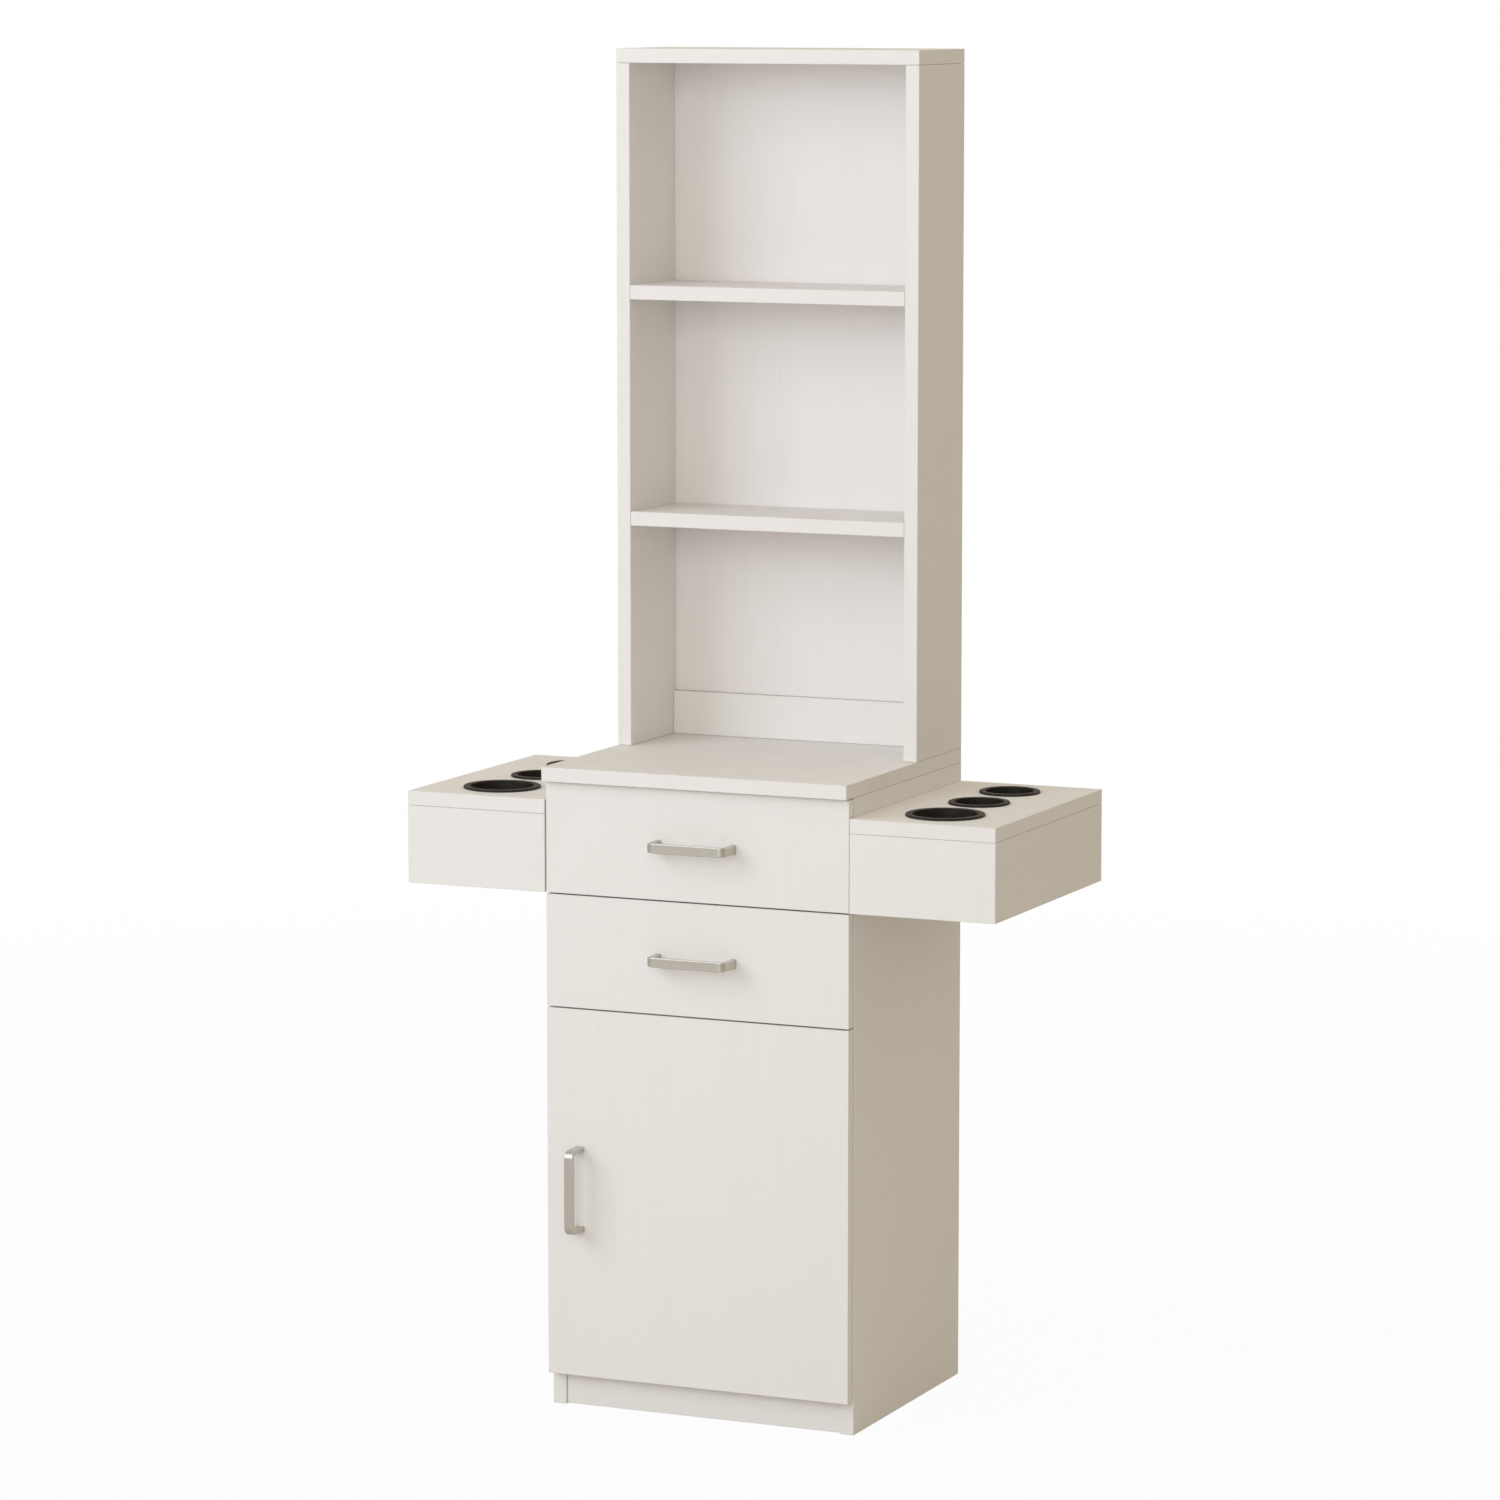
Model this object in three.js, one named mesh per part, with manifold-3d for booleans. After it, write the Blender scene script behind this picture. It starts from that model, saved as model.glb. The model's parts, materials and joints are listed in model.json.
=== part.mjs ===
// Salon styling station: a narrow base cabinet with two drawers and a door, an open shelf unit on
// its worktop, and a tool-holder box with three drop-in cups on each side.
// Millimetres. X is the width, the front faces -Y, and Z is up from the floor.
// The drawing frame has y = 0 at the front edges of the base side panels. The finished group is
// moved so that its origin is the middle of the whole outline on the floor.
import * as THREE from "three";
import { mergeVertices } from "three/addons/utils/BufferGeometryUtils.js";
import Module from "manifold-3d";

const wasm = await Module();
wasm.setup();

// Driving dimensions
const BOARD = 18; // laminated board of the cabinet
const FRONT_BOARD = 15; // door and drawer fronts
const BOX_BOARD = 12; // drawer sides and backs
const PANEL = 5; // thin back panels and drawer bottoms
const GAP = 0.3; // clearance between pieces that touch
const REVEAL = 1.9; // joint seen between two fronts
const BUMPER = 1.2; // space between a front and the cabinet's edges

const WIDTH = 412; // base cabinet and shelf unit
const DEPTH = 348; // base side panels
const HEIGHT = 1700;
const WORKTOP_TOP = 816;
const WORKTOP_OVERHANG = 11; // past the faces of the drawer fronts
const PLINTH_HEIGHT = 43;
const PLINTH_SETBACK = 2.5;
const DOOR_TOP = 511.3;
const DRAWER_SEAM = 656; // between the two drawer fronts
const FRONT_WIDTH = 410;
const DIVIDER_Z = 503.5; // underside of the board between door and drawers
const CUPBOARD_SHELF_Z = 270;
const BACK_SET_IN = 7; // a back panel's rear face, in from the rear edges
const GROOVE = 5; // how deep a back panel runs into the sides

const SHELF_UNIT_DEPTH = 150;
const SHELF_TOPS = { shelf_lower: 1116, shelf_upper: 1403 };
const BACK_RAIL_HEIGHT = 56;
const BACK_RAIL_SET_IN = 2;

const WING_WIDTH = 191;
const WING_FRONT = -18; // front face of a tool-holder box
const WING_BOTTOM = 657;
const WING_TOP = 774;
// A cup's place back from the box's front face, its hole and rim radii
const CUPS = [
  { name: "large", back: 75, hole: 43, rim: 49 },
  { name: "middle", back: 187, hole: 33.5, rim: 38.5 },
  { name: "rear", back: 291, hole: 33.5, rim: 38.5 },
];
const CUP_DEPTH = 88;
const CUP_WALL = 2;
const CUP_TAPER = 3;
const CUP_CLEARANCE = 0.7;
const RIM_HEIGHT = 3;

const HANDLE_SPACING = 102; // between the screw holes
const HANDLE_LEG = 6;
const HANDLE_STRIP = 12; // width of the flat strip
const HANDLE_REACH = 34; // from the front's face to the grip's face
const HANDLE_GRIP = 5;
const HANDLE_BEND = 10;
const DOOR_HANDLE_INSET = 45; // from the door's free edge to the handle's middle
const DOOR_HANDLE_Z = 283;

const DRAWER_BOX_LENGTH = 300;
const DRAWER_BOX_HEIGHT = 98;
const DRAWER_LIFT = 12; // the box's underside above the front's lower edge
const RUNNER_SPACE = 12.7; // between the cabinet side and the drawer side
const RUNNER_METAL = 1.2;
const RUNNER_HEIGHT = 35;
const RUNNER_RISE = 24; // the runner's middle above the box's underside

const HINGE_CUP_RADIUS = 17.5;
const HINGE_CUP_DEPTH = 11;
const HINGE_EDGE = 21.5; // the cup's middle in from the door's edge
const HINGE_FROM_END = 95;

const ROUND_SEGMENTS = 32;
const BEND_SEGMENTS = 5;

const finish = (color, roughness, metalness) =>
  new THREE.MeshStandardMaterial({ color, roughness, metalness });
const laminate = finish(0xe6e3dc, 0.55, 0);
const drawerBoard = finish(0xefeeea, 0.6, 0);
const thinPanel = finish(0xe4e0d8, 0.65, 0);
const nickel = finish(0xb9b6ae, 0.35, 1);
const blackPlastic = finish(0x17140f, 0.45, 0);
const runnerSteel = finish(0xe9e9e6, 0.4, 0.3);
const hingeSteel = finish(0xc2c4c6, 0.3, 1);

const station = new THREE.Group();

// Adds a mesh to the station under its own name.
function add(name, geometry, material) {
  const mesh = new THREE.Mesh(geometry, material);
  mesh.name = name;
  station.add(mesh);
  return mesh;
}

// A box between two planes on each axis.
function boxBetween(x, y, z) {
  const geometry = new THREE.BoxGeometry(x[1] - x[0], y[1] - y[0], z[1] - z[0]);
  geometry.translate((x[0] + x[1]) / 2, (y[0] + y[1]) / 2, (z[0] + z[1]) / 2);
  return geometry;
}

function board(name, x, y, z, material = laminate) {
  return add(name, boxBetween(x, y, z), material);
}

// A range mirrored to the left when side is -1.
const across = (side, a, b) => (side > 0 ? [a, b] : [-b, -a]);

function solidOf(geometry) {
  const bare = geometry.clone();
  bare.deleteAttribute("normal");
  bare.deleteAttribute("uv");
  const merged = mergeVertices(bare, 1e-4);
  return new wasm.Manifold(
    new wasm.Mesh({
      numProp: 3,
      vertProperties: new Float32Array(merged.attributes.position.array),
      triVerts: new Uint32Array(merged.index.array),
    }),
  );
}

function geometryOf(solid) {
  const { vertProperties, triVerts, numProp } = solid.getMesh();
  const points = new Float32Array((vertProperties.length / numProp) * 3);
  for (let i = 0; i < points.length / 3; i++)
    points.set(vertProperties.subarray(i * numProp, i * numProp + 3), i * 3);
  const geometry = new THREE.BufferGeometry();
  geometry.setAttribute("position", new THREE.BufferAttribute(points, 3));
  geometry.setIndex(new THREE.BufferAttribute(new Uint32Array(triVerts), 1));
  return geometry;
}

// The geometry with each of the tools cut away.
const cut = (geometry, tools) =>
  geometryOf(tools.reduce((left, tool) => left.subtract(solidOf(tool)), solidOf(geometry)));

const joined = (geometries) =>
  geometryOf(geometries.map(solidOf).reduce((all, next) => all.add(next)));

// An outline of [x, z] points carried along Y.
function extrudedAlongY(outline, from, to) {
  const shape = new THREE.Shape(outline.map(([x, z]) => new THREE.Vector2(x, -z)));
  const geometry = new THREE.ExtrudeGeometry(shape, { depth: to - from, bevelEnabled: false });
  geometry.rotateX(-Math.PI / 2);
  geometry.translate(0, from, 0);
  return geometry;
}

// Base cabinet
const sideInner = WIDTH / 2 - BOARD;
const between = [-sideInner + GAP, sideInner - GAP];
const backFace = DEPTH - BACK_SET_IN - PANEL;
const worktopUnder = WORKTOP_TOP - BOARD;
const frontFace = -BUMPER - FRONT_BOARD;
const doorBottom = PLINTH_HEIGHT - GAP;

// A groove for a back panel in the inner face of a side panel.
const groove = (side, z) =>
  boxBetween(
    across(side, sideInner - 1, sideInner + GROOVE + GAP),
    [backFace - GAP, backFace + PANEL + GAP],
    [z[0] - 1, z[1] + 1],
  );

for (const [side, word] of [[-1, "left"], [1, "right"]]) {
  const z = [0, worktopUnder - GAP];
  const panel = boxBetween(across(side, sideInner, WIDTH / 2), [0, DEPTH], z);
  add(`base_side_${word}`, cut(panel, [groove(side, z)]), laminate);
}
const bottomPanel = [PLINTH_HEIGHT + GAP, PLINTH_HEIGHT + GAP + BOARD];
board("plinth", between, [PLINTH_SETBACK, PLINTH_SETBACK + BOARD], [1, PLINTH_HEIGHT]);
board("bottom_panel", between, [0, backFace - GAP], bottomPanel);
board("divider_panel", between, [0, backFace - GAP], [DIVIDER_Z, DIVIDER_Z + BOARD]);
board("top_rail", between, [0, 60], [worktopUnder - BOARD - GAP, worktopUnder - GAP]);
board(
  "base_back_panel",
  [-sideInner - GROOVE, sideInner + GROOVE],
  [backFace, backFace + PANEL],
  [PLINTH_HEIGHT / 2, worktopUnder - GAP],
  thinPanel,
);
board(
  "cupboard_shelf",
  [between[0] + 0.5, between[1] - 0.5],
  [12, backFace - 12],
  [CUPBOARD_SHELF_Z, CUPBOARD_SHELF_Z + BOARD],
);
board(
  "worktop",
  [-WIDTH / 2, WIDTH / 2],
  [frontFace - WORKTOP_OVERHANG, DEPTH],
  [worktopUnder, WORKTOP_TOP],
);

// Open shelf unit
const unitFront = DEPTH - SHELF_UNIT_DEPTH;
const unitBottom = WORKTOP_TOP + GAP;
const topUnder = HEIGHT - BOARD;
for (const [side, word] of [[-1, "left"], [1, "right"]]) {
  const panelZ = [unitBottom, topUnder - GAP];
  const panel = boxBetween(across(side, sideInner, WIDTH / 2), [unitFront, DEPTH], panelZ);
  const grooveZ = [WORKTOP_TOP + BACK_RAIL_HEIGHT, topUnder];
  add(`unit_side_${word}`, cut(panel, [groove(side, grooveZ)]), laminate);
}
board("unit_top", [-WIDTH / 2, WIDTH / 2], [unitFront, DEPTH], [topUnder, HEIGHT]);
for (const [name, top] of Object.entries(SHELF_TOPS))
  board(name, between, [unitFront, backFace - GAP], [top - BOARD, top]);
board(
  "unit_back_panel",
  [-sideInner - GROOVE, sideInner + GROOVE],
  [backFace, backFace + PANEL],
  [WORKTOP_TOP + BACK_RAIL_HEIGHT + GAP, topUnder - GAP],
  thinPanel,
);
board(
  "unit_back_rail",
  between,
  [DEPTH - BACK_RAIL_SET_IN - BOARD, DEPTH - BACK_RAIL_SET_IN],
  [unitBottom, WORKTOP_TOP + BACK_RAIL_HEIGHT],
);

// Tool-holder boxes and their cups
const wingInner = WIDTH / 2 + GAP;
const wingOuter = wingInner + WING_WIDTH;
const wingMiddle = (wingInner + wingOuter) / 2;
const wingLid = WING_TOP - BOARD;
const underLid = wingLid - GAP;

function cylinderUp(radius, x, y, z) {
  const geometry = new THREE.CylinderGeometry(radius, radius, z[1] - z[0], ROUND_SEGMENTS);
  geometry.rotateX(Math.PI / 2);
  geometry.translate(x, y, (z[0] + z[1]) / 2);
  return geometry;
}

// A cup turned about Z, its rim lying on the box's top and its open mouth up.
function cupGeometry({ hole, rim }) {
  const outside = hole - CUP_CLEARANCE;
  const inside = outside - CUP_WALL;
  const profile = [
    [0, -CUP_DEPTH],
    [outside - CUP_TAPER, -CUP_DEPTH],
    [outside, GAP],
    [rim, GAP],
    [rim, RIM_HEIGHT],
    [inside, RIM_HEIGHT],
    [inside - CUP_TAPER, CUP_WALL - CUP_DEPTH],
    [0, CUP_WALL - CUP_DEPTH],
  ];
  const points = profile.map(([r, z]) => new THREE.Vector2(r, z));
  const geometry = new THREE.LatheGeometry(points, ROUND_SEGMENTS);
  geometry.rotateX(Math.PI / 2);
  return geometry;
}

for (const [side, word] of [[-1, "left"], [1, "right"]]) {
  const outerBoard = across(side, wingOuter - BOARD, wingOuter);
  const innerBoard = across(side, wingInner, wingInner + BOARD);
  const inside = across(side, wingInner + BOARD + GAP, wingOuter - BOARD - GAP);
  const whole = across(side, wingInner, wingOuter);
  const afterFront = WING_FRONT + BOARD + GAP;
  const backBoard = [DEPTH - BOARD, DEPTH];
  const walls = [WING_BOTTOM, underLid];
  const holes = CUPS.map(({ back, hole }) =>
    cylinderUp(hole, side * wingMiddle, WING_FRONT + back, [wingLid - 5, WING_TOP + 5]),
  );
  const lid = boxBetween(whole, [WING_FRONT, DEPTH], [wingLid, WING_TOP]);
  add(`wing_${word}_top`, cut(lid, holes), laminate);
  board(`wing_${word}_front`, whole, [WING_FRONT, WING_FRONT + BOARD], walls);
  board(`wing_${word}_outer_side`, outerBoard, [afterFront, DEPTH], walls);
  board(`wing_${word}_inner_side`, innerBoard, [afterFront, DEPTH], walls);
  board(`wing_${word}_back`, inside, backBoard, walls);
  const bottomY = [afterFront, backBoard[0] - GAP];
  board(`wing_${word}_bottom`, inside, bottomY, [WING_BOTTOM, WING_BOTTOM + BOARD]);
  for (const cup of CUPS)
    add(`cup_${cup.name}_${word}`, cupGeometry(cup), blackPlastic).position.set(
      side * wingMiddle,
      WING_FRONT + cup.back,
      WING_TOP,
    );
}

// Bow handle: a flat strip bent to two legs. It lies along X, its legs reach back from -Y to 0.
function handleGeometry() {
  const end = HANDLE_SPACING / 2 + HANDLE_LEG / 2;
  const innerBend = HANDLE_BEND - HANDLE_GRIP;
  const inner = end - HANDLE_LEG;
  const grip = HANDLE_REACH - HANDLE_GRIP;
  const outline = new THREE.Shape();
  outline.moveTo(-end, GAP);
  outline.lineTo(-inner, GAP);
  outline.lineTo(-inner, grip - innerBend);
  outline.absarc(-inner + innerBend, grip - innerBend, innerBend, Math.PI, Math.PI / 2, true);
  outline.absarc(inner - innerBend, grip - innerBend, innerBend, Math.PI / 2, 0, true);
  outline.lineTo(inner, GAP);
  outline.lineTo(end, GAP);
  outline.absarc(end - HANDLE_BEND, HANDLE_REACH - HANDLE_BEND, HANDLE_BEND, 0, Math.PI / 2, false);
  outline.absarc(
    -end + HANDLE_BEND,
    HANDLE_REACH - HANDLE_BEND,
    HANDLE_BEND,
    Math.PI / 2,
    Math.PI,
    false,
  );
  const geometry = new THREE.ExtrudeGeometry(outline, {
    depth: HANDLE_STRIP,
    bevelEnabled: false,
    curveSegments: BEND_SEGMENTS,
  });
  geometry.translate(0, 0, -HANDLE_STRIP / 2);
  geometry.rotateX(Math.PI);
  return geometry;
}

// Drawers
// A cabinet runner is a C channel on the side panel. The drawer's own runner is a T strip in it.
function runnerOutlines() {
  const half = RUNNER_HEIGHT / 2;
  const wall = sideInner - GAP;
  const web = wall - RUNNER_METAL;
  const lip = wall - RUNNER_SPACE + 3;
  const drawerWall = sideInner - RUNNER_SPACE + GAP;
  const drawerWeb = drawerWall + RUNNER_METAL;
  const track = web - 1;
  const fixed = [
    [wall, -half],
    [wall, half],
    [lip, half],
    [lip, half - RUNNER_METAL],
    [web, half - RUNNER_METAL],
    [web, RUNNER_METAL - half],
    [lip, RUNNER_METAL - half],
    [lip, -half],
  ];
  const moving = [
    [drawerWall, -half + 2],
    [drawerWeb, -half + 2],
    [drawerWeb, -RUNNER_METAL / 2],
    [track, -RUNNER_METAL / 2],
    [track, RUNNER_METAL / 2],
    [drawerWeb, RUNNER_METAL / 2],
    [drawerWeb, half - 2],
    [drawerWall, half - 2],
  ];
  return { fixed, moving };
}

// The outline mirrored to the left when side is -1, and lifted to z.
const placedOutline = (outline, side, z) => outline.map(([x, up]) => [side * x, up + z]);

function drawer(word, frontZ) {
  const boxOuter = sideInner - RUNNER_SPACE;
  const boxInner = boxOuter - BOX_BOARD;
  const under = frontZ[0] + DRAWER_LIFT;
  const boxZ = [under, under + DRAWER_BOX_HEIGHT];
  const boxStart = GAP - BUMPER;
  const boxEnd = boxStart + DRAWER_BOX_LENGTH;
  const runnerZ = under + RUNNER_RISE;
  const { fixed, moving } = runnerOutlines();
  board(
    `drawer_${word}_front`,
    [-FRONT_WIDTH / 2, FRONT_WIDTH / 2],
    [frontFace, -BUMPER],
    frontZ,
  );
  for (const [side, sideWord] of [[-1, "left"], [1, "right"]]) {
    const x = across(side, boxInner, boxOuter);
    board(`drawer_${word}_side_${sideWord}`, x, [boxStart, boxEnd], boxZ, drawerBoard);
    add(
      `runner_${word}_${sideWord}_cabinet`,
      extrudedAlongY(placedOutline(fixed, side, runnerZ), 3, DRAWER_BOX_LENGTH + 3),
      runnerSteel,
    );
    add(
      `runner_${word}_${sideWord}_drawer`,
      extrudedAlongY(placedOutline(moving, side, runnerZ), 1, boxEnd),
      runnerSteel,
    );
  }
  const inside = [-boxInner + GAP, boxInner - GAP];
  const backStart = boxEnd - BOX_BOARD;
  board(`drawer_${word}_back`, inside, [backStart, boxEnd], boxZ, drawerBoard);
  board(
    `drawer_${word}_bottom`,
    inside,
    [boxStart, backStart - GAP],
    [under + 8, under + 8 + PANEL],
    thinPanel,
  );
  add(`drawer_${word}_handle`, handleGeometry(), nickel).position.set(
    0,
    frontFace,
    (frontZ[0] + frontZ[1]) / 2,
  );
}

drawer("upper", [DRAWER_SEAM + REVEAL / 2, worktopUnder - REVEAL]);
drawer("lower", [DOOR_TOP + REVEAL, DRAWER_SEAM - REVEAL / 2]);

// Door, hung on the right by two concealed hinges
const hingeX = FRONT_WIDTH / 2 - HINGE_EDGE;
const hinges = { lower: doorBottom + HINGE_FROM_END, upper: DOOR_TOP - HINGE_FROM_END };

// A hinge cup turned about Y: its flange lies on the door's inner face and its mouth faces the
// cabinet.
function hingeCupGeometry() {
  const outer = HINGE_CUP_RADIUS - 0.3;
  const profile = [
    [0, -HINGE_CUP_DEPTH],
    [outer, -HINGE_CUP_DEPTH],
    [outer, 0.1],
    [outer + 3, 0.1],
    [outer + 3, 0.8],
    [outer - 1, 0.8],
    [outer - 1, 1 - HINGE_CUP_DEPTH],
    [0, 1 - HINGE_CUP_DEPTH],
  ];
  return new THREE.LatheGeometry(
    profile.map(([r, y]) => new THREE.Vector2(r, y)),
    ROUND_SEGMENTS,
  );
}

// The mounting plate on the cabinet side, with the hinge arm over it.
const hingePlateGeometry = (z) =>
  joined([
    boxBetween([sideInner - GAP - 2, sideInner - GAP], [22, 54], [z - 24, z + 24]),
    boxBetween([sideInner - 12, sideInner - GAP - 1], [5, 72], [z - 7, z + 7]),
  ]);

const pockets = Object.values(hinges).map((z) => {
  const pocket = new THREE.CylinderGeometry(
    HINGE_CUP_RADIUS,
    HINGE_CUP_RADIUS,
    HINGE_CUP_DEPTH + GAP + 5,
    ROUND_SEGMENTS,
  );
  pocket.translate(hingeX, -BUMPER + (5 - HINGE_CUP_DEPTH - GAP) / 2, z);
  return pocket;
});
const doorBlank = boxBetween(
  [-FRONT_WIDTH / 2, FRONT_WIDTH / 2],
  [frontFace, -BUMPER],
  [doorBottom, DOOR_TOP],
);
add("door_panel", cut(doorBlank, pockets), laminate);
for (const [word, z] of Object.entries(hinges)) {
  add(`hinge_${word}_cup`, hingeCupGeometry(), hingeSteel).position.set(hingeX, -BUMPER, z);
  add(`hinge_${word}_arm`, hingePlateGeometry(z), hingeSteel);
}
const doorHandle = add("door_handle", handleGeometry(), nickel);
doorHandle.rotation.y = Math.PI / 2;
doorHandle.position.set(-FRONT_WIDTH / 2 + DOOR_HANDLE_INSET, frontFace, DOOR_HANDLE_Z);

// The origin is the middle of the outline: from the handles' grips to the cabinet's back.
station.position.y = -(frontFace - HANDLE_REACH + DEPTH) / 2;

export default station;
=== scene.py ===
"""Salon styling station: the finished boards, cups, handles, runners, hinges and small hardware
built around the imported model, with their materials, a plain floor and a soft studio light.

Metres. X is the width, the front faces -Y and Z is up. Every size that belongs to the design is
read from the frame; the sizes named here are those of edges, bends, screws and finishes."""

import json
import math

import bpy
import numpy as np
from bpy.props import (FloatProperty, FloatVectorProperty, IntProperty, PointerProperty)
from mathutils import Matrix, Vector
from mathutils.geometry import tessellate_polygon

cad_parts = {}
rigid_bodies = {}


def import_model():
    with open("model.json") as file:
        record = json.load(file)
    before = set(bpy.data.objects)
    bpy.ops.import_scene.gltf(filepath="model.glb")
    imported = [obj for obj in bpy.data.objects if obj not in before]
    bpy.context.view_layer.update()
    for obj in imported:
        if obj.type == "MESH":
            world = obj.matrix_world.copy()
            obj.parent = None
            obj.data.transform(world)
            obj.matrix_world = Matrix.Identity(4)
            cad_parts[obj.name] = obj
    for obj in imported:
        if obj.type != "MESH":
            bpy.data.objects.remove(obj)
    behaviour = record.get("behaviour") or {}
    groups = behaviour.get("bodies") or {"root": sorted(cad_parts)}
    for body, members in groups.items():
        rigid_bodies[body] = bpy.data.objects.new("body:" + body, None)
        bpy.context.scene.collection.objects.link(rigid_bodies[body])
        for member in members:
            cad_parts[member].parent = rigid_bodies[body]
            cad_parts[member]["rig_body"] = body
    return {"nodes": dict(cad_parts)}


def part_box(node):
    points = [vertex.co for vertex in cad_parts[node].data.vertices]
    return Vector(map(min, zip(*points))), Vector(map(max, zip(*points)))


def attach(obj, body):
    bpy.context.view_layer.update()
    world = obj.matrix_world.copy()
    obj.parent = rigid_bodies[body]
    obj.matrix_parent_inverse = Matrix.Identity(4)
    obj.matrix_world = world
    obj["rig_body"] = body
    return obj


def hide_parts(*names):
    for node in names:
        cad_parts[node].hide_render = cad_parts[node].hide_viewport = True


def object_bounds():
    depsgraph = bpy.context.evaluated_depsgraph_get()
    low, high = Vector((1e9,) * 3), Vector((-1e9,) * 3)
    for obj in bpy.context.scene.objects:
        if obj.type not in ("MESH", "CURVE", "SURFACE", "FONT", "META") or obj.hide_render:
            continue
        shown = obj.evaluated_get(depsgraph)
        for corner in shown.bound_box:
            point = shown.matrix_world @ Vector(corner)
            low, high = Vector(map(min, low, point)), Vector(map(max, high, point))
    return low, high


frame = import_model()
cad_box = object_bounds()

bl_info = {
    "name": "Salon Styling Station", "version": (1, 0, 0), "blender": (4, 5, 0),
    "location": "View3D > Sidebar > Station",
    "description": "Builds a salon styling station with its cups, drawers, door and hardware",
    "category": "Add Mesh"
}

MM = 0.001
TURN = 2 * math.pi
SAME = 1e-7

X = np.array((1.0, 0.0, 0.0))
Y = np.array((0.0, 1.0, 0.0))
Z = np.array((0.0, 0.0, 1.0))

SIDES = {"left": -1, "right": 1}
CUP_NAMES = ("large", "middle", "rear")
ROWS = ("upper", "lower")


# ---------------------------------------------------------------------------------------------
# Settings


class StationSizes(bpy.types.PropertyGroup):
    """Sizes of edges and small parts that a user would change."""

    arris: FloatProperty(
        name="Board Arris", description="Radius of the rounded edges of the laminated boards",
        default=0.5 * MM, min=0.1 * MM, max=3 * MM, unit="LENGTH"
    )
    band: FloatProperty(
        name="Edge Band",
        description="Thickness of the edge banding, seen as a faint border on each face",
        default=0.9 * MM, min=0.2 * MM, max=3 * MM, unit="LENGTH"
    )
    cup_round: FloatProperty(
        name="Cup Rim Rounding", description="Radius of the rounded outer edge of a cup's rim",
        default=1.3 * MM, min=0.3 * MM, max=1.4 * MM, unit="LENGTH"
    )
    screw_head: FloatProperty(
        name="Screw Head", description="Radius of the pan heads of the handle and runner screws",
        default=3.6 * MM, min=1 * MM, max=6 * MM, unit="LENGTH"
    )
    arc_steps: IntProperty(
        name="Arc Steps", description="Straight steps in each rounded edge", default=3, min=1, max=8
    )
    circle_steps: IntProperty(
        name="Circle Steps", description="Straight steps round a cup", default=96, min=24, max=256
    )


def tint(name, description, default):
    """A colour setting, in linear values."""
    return FloatVectorProperty(
        name=name, description=description, default=default, subtype="COLOR", min=0, max=1
    )


class StationColours(bpy.types.PropertyGroup):
    """Base colours of the finishes."""

    laminate: tint("Laminate", "Warm off-white of the laminated boards", (0.80, 0.775, 0.74))
    drawer_board: tint("Drawer Board", "Inner white of the drawer boxes", (0.80, 0.79, 0.77))
    thin_panel: tint("Thin Panel", "Painted face of the back panels", (0.82, 0.782, 0.762))
    nickel: tint("Nickel", "Satin nickel of the handles", (0.60, 0.575, 0.52))
    cup_plastic: tint("Cup Plastic", "Black plastic of the cups", (0.0165, 0.0125, 0.009))
    runner_steel: tint("Runner Steel", "White powder coat of the runners", (0.79, 0.79, 0.77))
    hinge_steel: tint("Hinge Steel", "Nickel plate of the hinges and pins", (0.62, 0.62, 0.61))
    zinc: tint("Zinc", "Zinc plate of the screws", (0.66, 0.67, 0.68))
    cap_plastic: tint("Cap Plastic", "White plastic of the cover caps", (0.80, 0.78, 0.75))
    bumper: tint("Bumper", "Clear soft plastic of the door bumpers", (0.62, 0.62, 0.60))


def sizes():
    return bpy.context.scene.station_sizes


def colours():
    return bpy.context.scene.station_colours


# ---------------------------------------------------------------------------------------------
# Surfaces


def unit(vectors):
    return vectors / np.linalg.norm(vectors, axis=-1, keepdims=True)


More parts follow.
